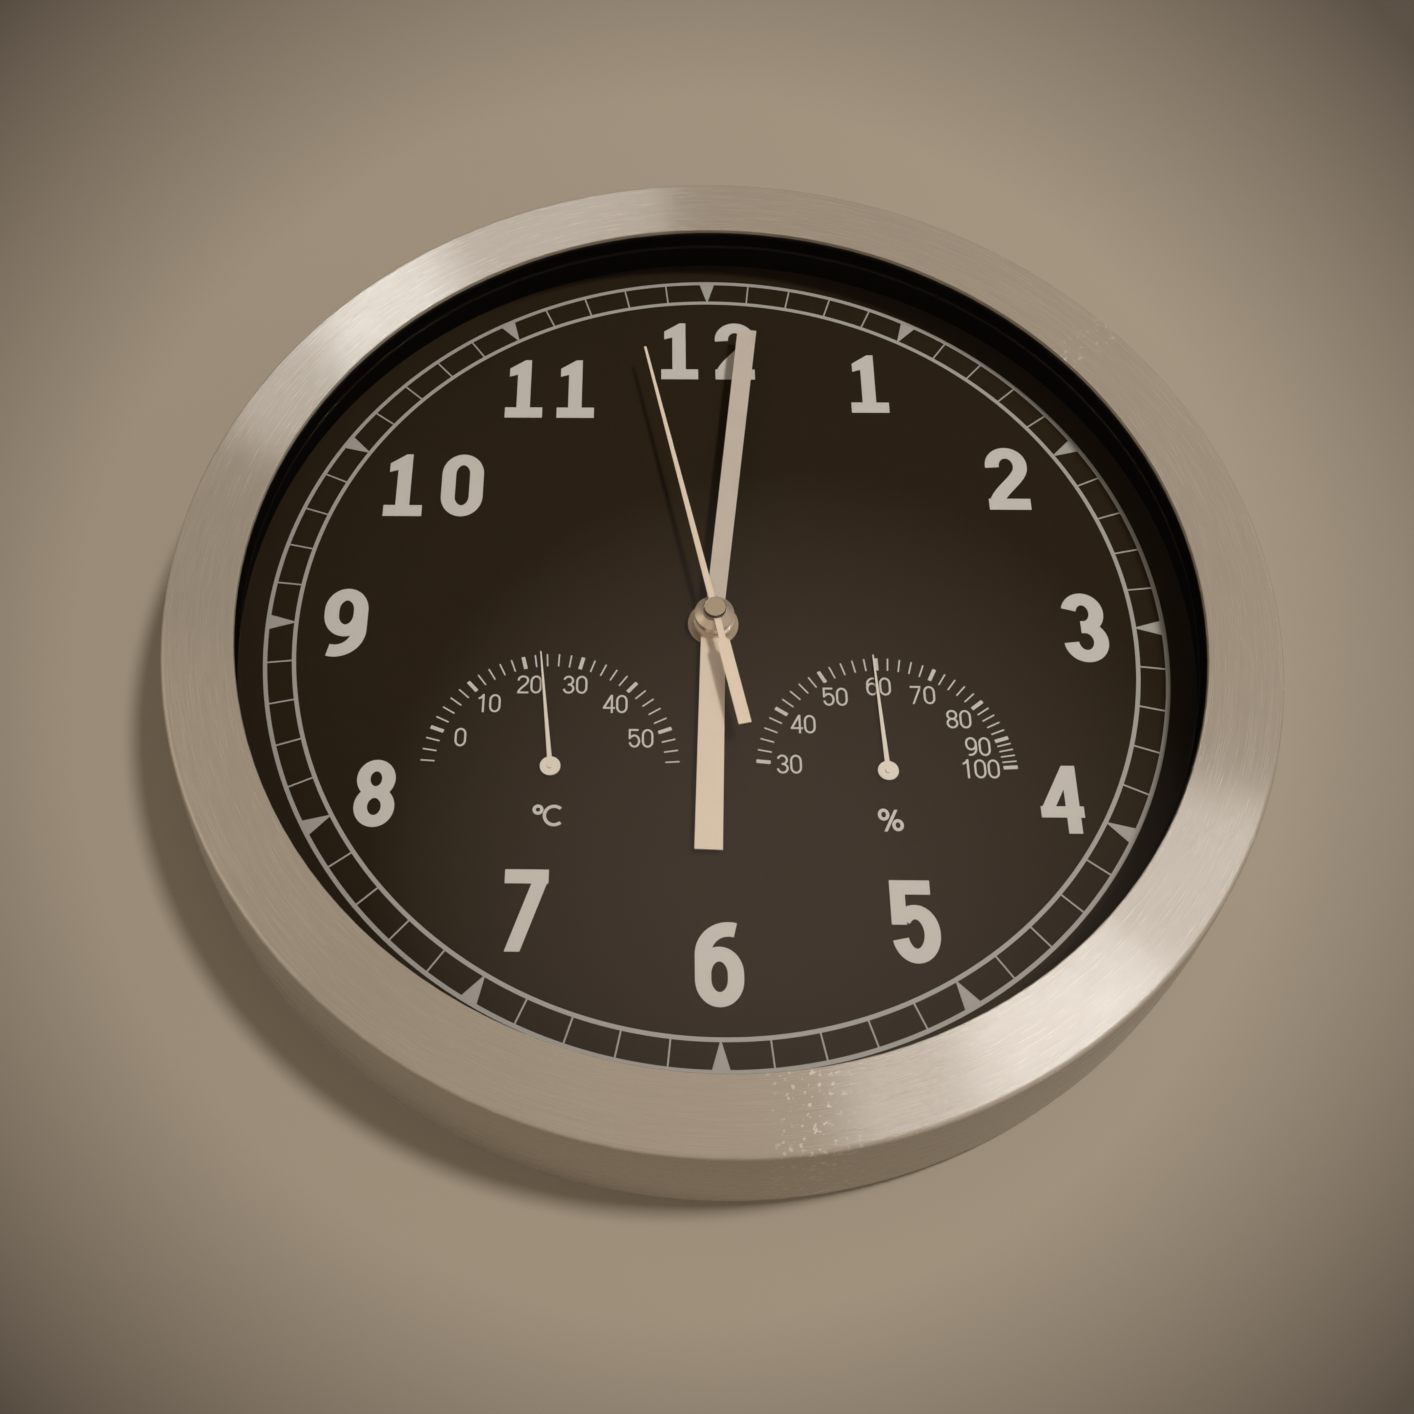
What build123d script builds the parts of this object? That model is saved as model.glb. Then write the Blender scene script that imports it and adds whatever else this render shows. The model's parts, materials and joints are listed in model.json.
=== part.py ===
"""Wall clock with a thermometer and a hygrometer, in millimetres.

The origin lies on the clock's axis in the plane of the wall. The front looks towards -Y, +Z is up and
+X is to the right of someone who looks at the dial. A height is a distance in front of the wall.
"""
import math
import os

from build123d import *

# Frame ring, spun from sheet
RIM_RADIUS = 150.0
SIDE_FLARE = 4.4
FACE_WIDTH = 18.8
RIM_HEIGHT = 3.3
SHEET = 1.2
SIDE_BULGE = 0.5
FACE_EDGE_ROUND = 1.3
LIP_EDGE_ROUND = 0.3
HEM_WIDTH = 3.4
HEM_HEIGHT = 1.2

# Glass and the moulded ring behind it
GLASS_THICKNESS = 2.5
GLASS_OVERLAP = 7.2
GLASS_PLAY = 0.3
GLASS_CLEARANCE = 4.4
DIAL_THICKNESS = 0.5
LIP_OVERHANG = 3.4
MOULDED_WALL = 2.0
RING_PLAY = 1.4

# Rear cover
COVER_PLAY = 0.3
COVER_RIM_THICKNESS = 5.0
COVER_RIM_WIDTH = 12.9
COVER_WEB = 2.0
COVER_RECESS = 3.0
COVER_SCREW_COUNT = 6
BOSS_RADIUS = 4.2
BOSS_INSET = 0.2
BOSS_PILOT_DEPTH = 14.0
OPENING_PLAY = 1.0
OPENING_RIB_HEIGHT = 3.0
KEYHOLE_INSET = 35.4
KEYHOLE_RADIUS = 4.5
KEYHOLE_SLOT_WIDTH = 4.2
KEYHOLE_SLOT_LENGTH = 8.0
KEYHOLE_PAD_RADIUS = 13.0
KEYHOLE_PAD_THICKNESS = 2.0
VENT_COUNT = 7
VENT_WIDTH = 2.4
VENT_PITCH = 5.0
VENT_FIELD_RADIUS = 18.0

# Small screws
SCREW_RADIUS = 1.45
SCREW_HEAD_RADIUS = 2.8
SCREW_HEAD_HEIGHT = 1.8
SCREW_LENGTH = 13.0
SCREW_PLAY = 0.15
PILOT_PLAY = 0.03
HEAD_POCKET_DEPTH = 2.4
SLOT_WIDTH = 0.8
SLOT_DEPTH = 0.7
MOVEMENT_SCREW_RADIUS = 0.95
MOVEMENT_SCREW_HEAD_RADIUS = 1.8
MOVEMENT_SCREW_HEAD_HEIGHT = 0.8
MOVEMENT_SCREW_LENGTH = 7.0
MOVEMENT_BOSS_RADIUS = 2.2
MOVEMENT_BOSS_SINK = 0.2
MOVEMENT_BOSS_DEPTH = 9.0

# Hands, each with the gap below it
HOUR_HAND_GAP = 0.2
HOUR_HAND_LENGTH = 67.0
HOUR_HAND_ROOT = 6.6
HOUR_HAND_TIP = 7.2
HOUR_FLANGE_RADIUS = 5.65
HOUR_FLANGE_THICKNESS = 1.1
HOUR_COLLAR_RADIUS = 5.0
HOUR_COLLAR_HEIGHT = 3.2
HOUR_HAND_ANGLE = 182.0
MINUTE_HAND_GAP = 0.6
MINUTE_HAND_LENGTH = 99.0
MINUTE_HAND_ROOT = 5.0
MINUTE_HAND_TIP = 5.6
MINUTE_COLLAR_RADIUS = 5.4
MINUTE_COLLAR_TOP_RADIUS = 3.4
MINUTE_COLLAR_HEIGHT = 1.9
COLLAR_CHAMFER = 0.15
MINUTE_HAND_ANGLE = 6.6
SECOND_HAND_GAP = 0.5
SECOND_HAND_LENGTH = 92.0
SECOND_HAND_ROOT = 1.8
SECOND_HAND_TIP = 0.7
SECOND_TAIL_LENGTH = 35.0
SECOND_TAIL_NECK = 9.2
SECOND_TAIL_SHOULDER = 1.0
SECOND_TAIL_WIDTH = 3.4
SECOND_HAND_ANGLE = 348.0
HAND_THICKNESS = 0.5
SECOND_HAND_THICKNESS = 0.3
CAP_RADIUS = 3.05
CAP_HEIGHT = 1.2
CAP_ROUND = 0.3

# Shafts of the hands
BUSH_RADIUS = 4.0
BUSH_PROUD = 0.1
DIAL_HOLE_PLAY = 0.1
HOUR_PIPE_RADIUS = 2.2
MINUTE_PIPE_RADIUS = 1.3
SECONDS_ARBOR_RADIUS = 0.5
PIPE_PLAY = 0.05
PRESS_GAP = 0.02
WASHER_RADIUS = 6.9
WASHER_THICKNESS = 0.6
NUT_ACROSS_FLATS = 10.0
NUT_THICKNESS = 1.3
GASKET_RADIUS = 14.0
GASKET_THICKNESS = 0.5

# Movement box, with the gaps round the pieces in it
WALL_GAP = 2.5
SIDE_GAP = 2.5
PIECE_GAP = 0.7
ROOF_GAP = 0.5
FLOOR_GAP = 1.7
COIL_GAP = 0.2
MOVEMENT_WALL = 1.5
MOVEMENT_CORNER = 2.0
BAY_PARTITION = 1.2
BAY_FLOOR = 0.8
BAY_PLAY = 0.15

# Battery and its contacts
BATTERY_RADIUS = 7.25
BATTERY_LENGTH = 49.0
BATTERY_NUB_RADIUS = 2.75
BATTERY_NUB_LENGTH = 1.4
BATTERY_ROUND = 0.6
CONTACT_SHEET = 0.4
CONTACT_WIDTH = 9.0
CONTACT_SPRING = 3.2
CONTACT_TAB = 1.6
CONTACT_REACH = 5.0

# Gear train
ADDENDUM = 0.8
DEDENDUM = 1.1
TOOTH_SHARE = 0.42
FLANK_ANGLE = 25.0
PINION_TEETH = 10
FIRST_MODULE = 0.18
FIRST_WHEEL_TEETH = 60
SECOND_MODULE = 0.25
SECOND_WHEEL_TEETH = 50
CANNON_MODULE = 0.3
CANNON_TEETH = 12
MOTION_TEETH = 36
HOUR_WHEEL_TEETH = 40
WHEEL_THICKNESS = 0.6
PINION_LENGTH = 1.2
HOUR_LEVEL = 0.85
MOTION_LEVEL = 2.5
MINUTE_LEVEL = 4.0
ROTOR_LEVEL = 5.8
SECONDS_LEVEL = 7.6
MAGNET_LEVEL = 8.4
ARBOR_RADIUS = 0.4
PIVOT_RADIUS = 0.3
PIVOT_LENGTH = 0.8
PIVOT_PLAY = 0.05
END_SHAKE = 0.1
SECONDS_TRAIN_ANGLE = 180.0
MINUTE_TRAIN_ANGLE = 0.0
MOTION_ANGLE = 90.0

# Step motors
MAGNET_RADIUS = 2.5
MAGNET_LENGTH = 3.0
STATOR_GAP = 0.4
STATOR_SHEET = 0.8
STATOR_NOSE = 4.0
STATOR_REACH = 14.2
STATOR_HEIGHT = 24.0
STATOR_LEG = 3.5
STATOR_BRIDGE = 4.2
CORE_OFFSET = 10.2
CORE_WIDTH = 4.0
CORE_SHEET = 1.2
COIL_RADIUS = 2.9
COIL_LENGTH = 15.0
STATOR_POST_RADIUS = 1.4

# Circuit board, antenna and buttons
BOARD_WIDTH = 54.0
BOARD_HEIGHT = 9.0
BOARD_THICKNESS = 1.0
BOARD_LEVEL = 4.5
BOARD_POST_RADIUS = 1.4
BOARD_POST_SPREAD = 22.0
CHIP_RADIUS = 3.0
CHIP_HEIGHT = 1.2
CHIP_OFFSET = 7.0
ANTENNA_RADIUS = 4.0
ANTENNA_LENGTH = 48.0
ANTENNA_LEVEL = 6.0
ANTENNA_WINDING = 0.8
ANTENNA_WINDING_LENGTH = 16.0
ANTENNA_SADDLE = 3.0
ANTENNA_SADDLE_WIDTH = 7.0
ANTENNA_SADDLE_SPREAD = 18.0
BUTTON_NAMES = ("set_button", "receive_button", "reset_button")
BUTTON_PITCH = 14.0
BUTTON_RADIUS = 2.0
BUTTON_FLANGE_RADIUS = 2.8
BUTTON_FLANGE = 0.7
BUTTON_RISE = 1.3
BUTTON_TRAVEL = 0.8
BUTTON_PLAY = 0.08
BUTTON_ROUND = 0.3
SWITCH_SIZE = 4.5
SWITCH_HEIGHT = 1.4
SWITCH_GAP = 0.1

# Thermometer and hygrometer
THERMOMETER_PLACE = (-43.3, -43.4)
HYGROMETER_PLACE = (44.8, -43.9)
THERMOMETER_ANGLE = -6.1
HYGROMETER_ANGLE = -3.0
CUP_RADIUS = 21.0
CUP_DEPTH = 10.0
CUP_WALL = 1.2
CUP_HOLE_COUNT = 8
CUP_HOLE_RADIUS = 2.2
CUP_HOLE_CIRCLE = 14.0
GAUGE_ARBOR_RADIUS = 0.6
GAUGE_ARBOR_PLAY = 0.1
GAUGE_COLLET_RADIUS = 1.8
STRIP_THICKNESS = 0.4
STRIP_WIDTH = 4.0
STRIP_PITCH = 3.6
STRIP_HALF_TURNS = 9
ANCHOR_RADIUS = 1.0
POINTER_HEIGHT = 0.8
POINTER_THICKNESS = 0.3
POINTER_LENGTH = 34.4
POINTER_ROOT = 1.3
POINTER_TIP = 0.35
POINTER_HUB_RADIUS = 2.7
POINTER_PIN_RADIUS = 0.75
POINTER_PIN_HEIGHT = 0.4

# Heights that follow from the sizes above
TRAIN_STACK = 2 * MOVEMENT_WALL + MAGNET_LEVEL + (STATOR_SHEET + CORE_SHEET) / 2 + COIL_RADIUS + COIL_GAP
BATTERY_STACK = BAY_FLOOR + BAY_PLAY + 2 * BATTERY_RADIUS
MOVEMENT_DEPTH = max(TRAIN_STACK, BATTERY_STACK)
MOVEMENT_BACK = WALL_GAP
MOVEMENT_FRONT = MOVEMENT_BACK + MOVEMENT_DEPTH
TRAIN_FRONT = MOVEMENT_FRONT - MOVEMENT_WALL
TRAIN_BACK = MOVEMENT_BACK + MOVEMENT_WALL
DIAL_BACK = MOVEMENT_FRONT + GASKET_THICKNESS
DIAL_FRONT = DIAL_BACK + DIAL_THICKNESS
BUSH_RISE = WASHER_THICKNESS + NUT_THICKNESS + BUSH_PROUD
HOUR_HAND_HEIGHT = BUSH_RISE + HOUR_HAND_GAP
MINUTE_HAND_HEIGHT = HOUR_HAND_HEIGHT + HOUR_COLLAR_HEIGHT + MINUTE_HAND_GAP
SECOND_HAND_HEIGHT = MINUTE_HAND_HEIGHT + MINUTE_COLLAR_HEIGHT + SECOND_HAND_GAP
CAP_FRONT = DIAL_FRONT + SECOND_HAND_HEIGHT + SECOND_HAND_THICKNESS + CAP_HEIGHT
GLASS_BACK = CAP_FRONT + GLASS_CLEARANCE
GLASS_FRONT = GLASS_BACK + GLASS_THICKNESS
OVERALL_DEPTH = GLASS_FRONT + SHEET
COVER_WEB_FRONT = COVER_RECESS + COVER_WEB
BATTERY_HEIGHT = MOVEMENT_FRONT - BAY_FLOOR - BAY_PLAY - BATTERY_RADIUS
BOARD_BACK = TRAIN_BACK + BOARD_LEVEL
CUP_BACK = DIAL_BACK - CUP_DEPTH

# Radii that follow from the sizes above
FACE_OUTER_RADIUS = RIM_RADIUS - SIDE_FLARE
FACE_INNER_RADIUS = FACE_OUTER_RADIUS - FACE_WIDTH
GLASS_RADIUS = FACE_INNER_RADIUS + GLASS_OVERLAP
POCKET_RADIUS = GLASS_RADIUS + GLASS_PLAY
INNER_WALL_RADIUS = FACE_INNER_RADIUS + LIP_OVERHANG
DIAL_RADIUS = INNER_WALL_RADIUS + MOULDED_WALL
RING_OUTER_RADIUS = FACE_OUTER_RADIUS - SHEET - RING_PLAY
COVER_RADIUS = RIM_RADIUS - HEM_WIDTH - COVER_PLAY
COVER_RIM_INNER_RADIUS = COVER_RADIUS - COVER_RIM_WIDTH
COVER_SCREW_CIRCLE = RING_OUTER_RADIUS - BOSS_RADIUS - BOSS_INSET
KEYHOLE_HEIGHT = COVER_RIM_INNER_RADIUS - KEYHOLE_INSET

# Distances between the axes of the train
FIRST_CENTRES = FIRST_MODULE * (PINION_TEETH + FIRST_WHEEL_TEETH) / 2
SECOND_CENTRES = SECOND_MODULE * (PINION_TEETH + SECOND_WHEEL_TEETH) / 2
MOTION_CENTRES = CANNON_MODULE * (CANNON_TEETH + MOTION_TEETH) / 2
HOUR_MODULE = 2 * MOTION_CENTRES / (PINION_TEETH + HOUR_WHEEL_TEETH)

# Places inside the movement that follow from the sizes above
MOVEMENT_BOSS_ROOM = 2 * MOVEMENT_BOSS_RADIUS - MOVEMENT_BOSS_SINK
BOARD_CENTRE = (STATOR_HEIGHT + BOARD_HEIGHT) / 2 + PIECE_GAP
ANTENNA_BOTTOM = BOARD_CENTRE + BOARD_HEIGHT / 2 + PIECE_GAP
ANTENNA_CENTRE = ANTENNA_BOTTOM + ANTENNA_RADIUS + ANTENNA_WINDING
TRAIN_HIGHEST = ANTENNA_CENTRE + ANTENNA_RADIUS + ANTENNA_WINDING + ROOF_GAP
TRAIN_LOWEST = STATOR_HEIGHT / 2 + MOVEMENT_BOSS_ROOM + FLOOR_GAP
BAY_BOTTOM = TRAIN_HIGHEST + BAY_PARTITION
BAY_TOP = BAY_BOTTOM + 2 * (BATTERY_RADIUS + 2 * BAY_PLAY)
BATTERY_CENTRE = (BAY_TOP + BAY_BOTTOM) / 2
MOVEMENT_TOP = BAY_TOP + MOVEMENT_WALL
MOVEMENT_BOTTOM = -TRAIN_LOWEST - MOVEMENT_WALL
BAY_HALF_LENGTH = (BATTERY_LENGTH + BATTERY_NUB_LENGTH + CONTACT_SPRING + CONTACT_TAB) / 2
STATOR_END = SECOND_CENTRES + FIRST_CENTRES + STATOR_REACH
WIDEST_PIECE = max(STATOR_END, BOARD_WIDTH / 2, BAY_HALF_LENGTH)
ANTENNA_END = ANTENNA_LENGTH / 2 + MOVEMENT_BOSS_ROOM
TRAIN_HALF_WIDTH = max(WIDEST_PIECE + SIDE_GAP, ANTENNA_END + PIECE_GAP)
MOVEMENT_WIDTH = 2 * (TRAIN_HALF_WIDTH + MOVEMENT_WALL)


def slab(sketch, low, high):
    """A flat piece, drawn in X and Z, between two heights."""
    return extrude(Plane.XZ.offset(low) * sketch, amount=high - low)


def post(radius, low, high, place=(0, 0)):
    """A round bar that stands on the wall's side, between two heights."""
    return slab(Pos(*place) * Circle(radius), low, high)


def tube(outer, inner, low, high, place=(0, 0)):
    """A round pipe between two heights."""
    return slab(Pos(*place) * (Circle(outer) - Circle(inner)), low, high)


def turned(points):
    """A solid turned about the clock's axis from a closed outline of radius and height."""
    outline = Polyline(*[(radius, -height) for radius, height in points], close=True)
    return revolve(make_face(outline), Axis.Y)


def polar(radius, angle):
    """A place in the plane of the dial, with the angle counted from +X towards +Z."""
    return (radius * math.cos(math.radians(angle)), radius * math.sin(math.radians(angle)))


def shifted(place, offset):
    """A place moved by an offset in the plane of the dial."""
    return (place[0] + offset[0], place[1] + offset[1])


def clockwise(shape, angle):
    """A sketch turned clockwise, as seen on the dial."""
    return Rot(0, 0, -angle) * shape


def frame_ring():
    """The sheet ring: flat face, flared and slightly bulged side, hem turned in at the rear."""
    middle = ((FACE_OUTER_RADIUS + RIM_RADIUS) / 2 + SIDE_BULGE, -(OVERALL_DEPTH + RIM_HEIGHT) / 2)
    face_front = -OVERALL_DEPTH
    face_back = -OVERALL_DEPTH + SHEET
    hem_back = -HEM_HEIGHT
    hem_front = -HEM_HEIGHT - SHEET
    hem_inner = RIM_RADIUS - HEM_WIDTH
    corner = (FACE_OUTER_RADIUS, face_front)
    lip = (FACE_INNER_RADIUS, face_front)
    rim = (RIM_RADIUS, -RIM_HEIGHT)
    inner_corner = (FACE_OUTER_RADIUS - SHEET, face_back)
    inner_rim = (RIM_RADIUS - SHEET, hem_front)
    inner_middle = (middle[0] - SHEET, middle[1])
    outline = [
        Line((FACE_INNER_RADIUS, face_back), lip),
        Line(lip, corner),
        ThreePointArc(corner, middle, rim),
        Line(rim, (RIM_RADIUS - SHEET / 2, hem_back)),
        Line((RIM_RADIUS - SHEET / 2, hem_back), (hem_inner, hem_back)),
        Line((hem_inner, hem_back), (hem_inner, hem_front)),
        Line((hem_inner, hem_front), inner_rim),
        ThreePointArc(inner_rim, inner_middle, inner_corner),
        Line(inner_corner, (FACE_INNER_RADIUS, face_back)),
    ]
    section = make_face(outline)
    section = fillet(section.vertices().sort_by_distance(corner)[0], FACE_EDGE_ROUND)
    section = fillet(section.vertices().sort_by_distance(lip)[0], LIP_EDGE_ROUND)
    return revolve(section, Axis.Y)


def glass_lens():
    """The flat glass, held between the ring's face and the ledge of the moulded ring."""
    return post(GLASS_RADIUS, GLASS_BACK, GLASS_FRONT)


def cover_screw_places():
    """The screws of the rear cover, evenly spaced, clear of the top and the bottom."""
    step = 360 / COVER_SCREW_COUNT
    return [polar(COVER_SCREW_CIRCLE, step * number) for number in range(COVER_SCREW_COUNT)]


def dial_ring():
    """The moulded channel between glass and dial, with a boss for each screw of the rear cover."""
    ledge_back = GLASS_BACK - MOULDED_WALL
    deck_back = GLASS_FRONT - MOULDED_WALL
    pocket_wall = POCKET_RADIUS + MOULDED_WALL
    skirt_inner = RING_OUTER_RADIUS - MOULDED_WALL
    ring = turned([
        (INNER_WALL_RADIUS, DIAL_FRONT),
        (INNER_WALL_RADIUS, GLASS_BACK),
        (POCKET_RADIUS, GLASS_BACK),
        (POCKET_RADIUS, GLASS_FRONT),
        (RING_OUTER_RADIUS, GLASS_FRONT),
        (RING_OUTER_RADIUS, COVER_RIM_THICKNESS),
        (skirt_inner, COVER_RIM_THICKNESS),
        (skirt_inner, deck_back),
        (pocket_wall, deck_back),
        (pocket_wall, ledge_back),
        (DIAL_RADIUS, ledge_back),
        (DIAL_RADIUS, DIAL_FRONT),
    ])
    for place in cover_screw_places():
        ring += post(BOSS_RADIUS, COVER_RIM_THICKNESS, deck_back, place)
    ring -= post(POCKET_RADIUS, GLASS_BACK, GLASS_FRONT)
    ring -= post(DIAL_RADIUS + DIAL_HOLE_PLAY, COVER_RIM_THICKNESS, DIAL_FRONT)
    pilot_end = COVER_RIM_THICKNESS + BOSS_PILOT_DEPTH
    for place in cover_screw_places():
        ring -= post(SCREW_RADIUS + PILOT_PLAY, COVER_RIM_THICKNESS, pilot_end, place)
    return ring


def dial_plate():
    """The flat dial, with a hole for the bush and one for each gauge arbor."""
    plate = Circle(DIAL_RADIUS) - Circle(BUSH_RADIUS + DIAL_HOLE_PLAY)
    for place in (THERMOMETER_PLACE, HYGROMETER_PLACE):
        plate -= Pos(*place) * Circle(GAUGE_ARBOR_RADIUS + GAUGE_ARBOR_PLAY)
    return slab(plate, DIAL_BACK, DIAL_FRONT)


def movement_outline(play=0.0):
    """The rounded outline of the movement box, grown by a play on every side."""
    height = MOVEMENT_TOP - MOVEMENT_BOTTOM + 2 * play
    centre = (0, (MOVEMENT_TOP + MOVEMENT_BOTTOM) / 2)
    corner = MOVEMENT_CORNER + play
    return Pos(*centre) * RectangleRounded(MOVEMENT_WIDTH + 2 * play, height, corner)


def cover_outline():
    """The part of the movement's outline that lies below the battery bay."""
    height = TRAIN_HIGHEST - MOVEMENT_BOTTOM
    below = Pos(0, TRAIN_HIGHEST - height / 2) * Rectangle(MOVEMENT_WIDTH, height)
    return movement_outline() & below


def vent_slots(place):
    """Upright air slots behind a gauge, cut to a round field."""
    slots = Sketch()
    for number in range(VENT_COUNT):
        offset = (number - (VENT_COUNT - 1) / 2) * VENT_PITCH
        length = 2 * math.sqrt(VENT_FIELD_RADIUS ** 2 - offset ** 2)
        slots += Pos(place[0] + offset, place[1]) * SlotOverall(length, VENT_WIDTH, rotation=90)
    return slots


def keyhole():
    """A round entry for the head of a wall screw, with a slot above it for the shank."""
    slot_middle = KEYHOLE_HEIGHT + KEYHOLE_SLOT_LENGTH / 2
    slot_end = KEYHOLE_HEIGHT + KEYHOLE_SLOT_LENGTH
    hole = Pos(0, KEYHOLE_HEIGHT) * Circle(KEYHOLE_RADIUS)
    hole += Pos(0, slot_middle) * Rectangle(KEYHOLE_SLOT_WIDTH, KEYHOLE_SLOT_LENGTH)
    hole += Pos(0, slot_end) * Circle(KEYHOLE_SLOT_WIDTH / 2)
    return hole


def rear_cover():
    """The moulded back: rim on the wall, web, rib under the dial, opening, air slots and keyhole."""
    cover = tube(COVER_RADIUS, COVER_RIM_INNER_RADIUS, 0, COVER_RIM_THICKNESS)
    cover += post(COVER_RIM_INNER_RADIUS, COVER_RECESS, COVER_WEB_FRONT)
    rib_inner = DIAL_RADIUS - MOULDED_WALL
    cover += tube(DIAL_RADIUS, rib_inner, COVER_WEB_FRONT, DIAL_BACK)
    rib_top = COVER_WEB_FRONT + OPENING_RIB_HEIGHT
    cover += slab(movement_outline(OPENING_PLAY + MOULDED_WALL), COVER_RECESS, rib_top)
    pad_top = COVER_WEB_FRONT + KEYHOLE_PAD_THICKNESS
    cover += post(KEYHOLE_PAD_RADIUS, COVER_RECESS, pad_top, (0, KEYHOLE_HEIGHT))
    cover -= slab(movement_outline(OPENING_PLAY), 0, rib_top)
    for place in (THERMOMETER_PLACE, HYGROMETER_PLACE):
        cover -= slab(vent_slots(place), 0, COVER_WEB_FRONT)
    cover -= slab(keyhole(), 0, pad_top)
    for place in cover_screw_places():
        cover -= post(SCREW_RADIUS + SCREW_PLAY, 0, COVER_RIM_THICKNESS, place)
        cover -= post(SCREW_HEAD_RADIUS + SCREW_PLAY, 0, HEAD_POCKET_DEPTH, place)
    return cover


def screw(place, seat, shank, head, head_height, length):
    """A slotted screw that enters from the rear, its head on a seat."""
    head_back = seat - head_height
    body = post(head, head_back, seat, place)
    body += post(shank, seat, seat + length, place)
    body -= slab(Pos(*place) * Rectangle(2 * head, SLOT_WIDTH), head_back, head_back + SLOT_DEPTH)
    return body


def rear_cover_screws():
    """The screws that hold the rear cover to the moulded ring."""
    return Compound([
        screw(place, HEAD_POCKET_DEPTH, SCREW_RADIUS, SCREW_HEAD_RADIUS, SCREW_HEAD_HEIGHT, SCREW_LENGTH)
        for place in cover_screw_places()
    ])


def movement_screw_places():
    """The four corners of the movement cover."""
    inset = MOVEMENT_BOSS_RADIUS - MOVEMENT_BOSS_SINK
    side = TRAIN_HALF_WIDTH - inset
    top = TRAIN_HIGHEST - inset
    bottom = inset - TRAIN_LOWEST
    return [(-side, top), (side, top), (-side, bottom), (side, bottom)]


def train_axes():
    """The axes of all wheels and rotors that turn between the movement's two walls."""
    axes = []
    for angle in (SECONDS_TRAIN_ANGLE, MINUTE_TRAIN_ANGLE):
        axes.append(polar(SECOND_CENTRES, angle))
        axes.append(polar(SECOND_CENTRES + FIRST_CENTRES, angle))
    axes.append(polar(MOTION_CENTRES, MOTION_ANGLE))
    return axes


def stator_post_places():
    """The posts that carry the stators, one at each end of a stator's legs."""
    leg_height = (STATOR_HEIGHT - STATOR_LEG) / 2
    reach = STATOR_END - STATOR_POST_RADIUS
    return [(side * reach, end * leg_height) for side in (-1, 1) for end in (-1, 1)]


def board_post_places():
    """The two places where the circuit board is held."""
    return [(-BOARD_POST_SPREAD, BOARD_CENTRE), (BOARD_POST_SPREAD, BOARD_CENTRE)]


def pivot_holes(low, high):
    """The bearing holes for all arbors in one wall of the movement."""
    hole = PIVOT_RADIUS + PIVOT_PLAY
    return [post(hole, low, high, place) for place in train_axes()]


def movement_case():
    """The movement's front half: box, battery bay, threaded bush, posts, bosses and bearing holes."""
    case = slab(movement_outline(), MOVEMENT_BACK, MOVEMENT_FRONT)
    train_height = TRAIN_HIGHEST + TRAIN_LOWEST
    train_room = Pos(0, (TRAIN_HIGHEST - TRAIN_LOWEST) / 2) * Rectangle(2 * TRAIN_HALF_WIDTH, train_height)
    case -= slab(train_room, MOVEMENT_BACK, TRAIN_FRONT)
    case -= slab(cover_outline(), MOVEMENT_BACK, TRAIN_BACK)
    bay = Pos(0, BATTERY_CENTRE) * Rectangle(2 * BAY_HALF_LENGTH, BAY_TOP - BAY_BOTTOM)
    case -= slab(bay, MOVEMENT_BACK, MOVEMENT_FRONT - BAY_FLOOR)
    case += post(BUSH_RADIUS, MOVEMENT_FRONT, DIAL_FRONT + BUSH_RISE)
    case -= post(HOUR_PIPE_RADIUS + PIPE_PLAY, TRAIN_FRONT, DIAL_FRONT + BUSH_RISE)
    stator_front = TRAIN_FRONT - MAGNET_LEVEL + STATOR_SHEET / 2
    for place in stator_post_places():
        case += post(STATOR_POST_RADIUS, stator_front, TRAIN_FRONT, place)
    for place in board_post_places():
        case += post(BOARD_POST_RADIUS, BOARD_BACK + BOARD_THICKNESS, TRAIN_FRONT, place)
    saddle_back = TRAIN_BACK + ANTENNA_LEVEL + ANTENNA_RADIUS + BAY_PLAY
    for side in (-1, 1):
        saddle = Pos(side * ANTENNA_SADDLE_SPREAD, ANTENNA_CENTRE)
        case += slab(saddle * Rectangle(ANTENNA_SADDLE, ANTENNA_SADDLE_WIDTH), saddle_back, TRAIN_FRONT)
    for place in movement_screw_places():
        case += post(MOVEMENT_BOSS_RADIUS, TRAIN_BACK, TRAIN_FRONT, place)
    for place in movement_screw_places():
        boss_end = TRAIN_BACK + MOVEMENT_BOSS_DEPTH
        case -= post(MOVEMENT_SCREW_RADIUS + PILOT_PLAY, TRAIN_BACK, boss_end, place)
    for hole in pivot_holes(TRAIN_FRONT, TRAIN_FRONT + PIVOT_LENGTH + END_SHAKE):
        case -= hole
    return case


def button_places():
    """The buttons in a row across the circuit board."""
    middle = (len(BUTTON_NAMES) - 1) / 2
    return [((number - middle) * BUTTON_PITCH, BOARD_CENTRE) for number in range(len(BUTTON_NAMES))]


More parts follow.
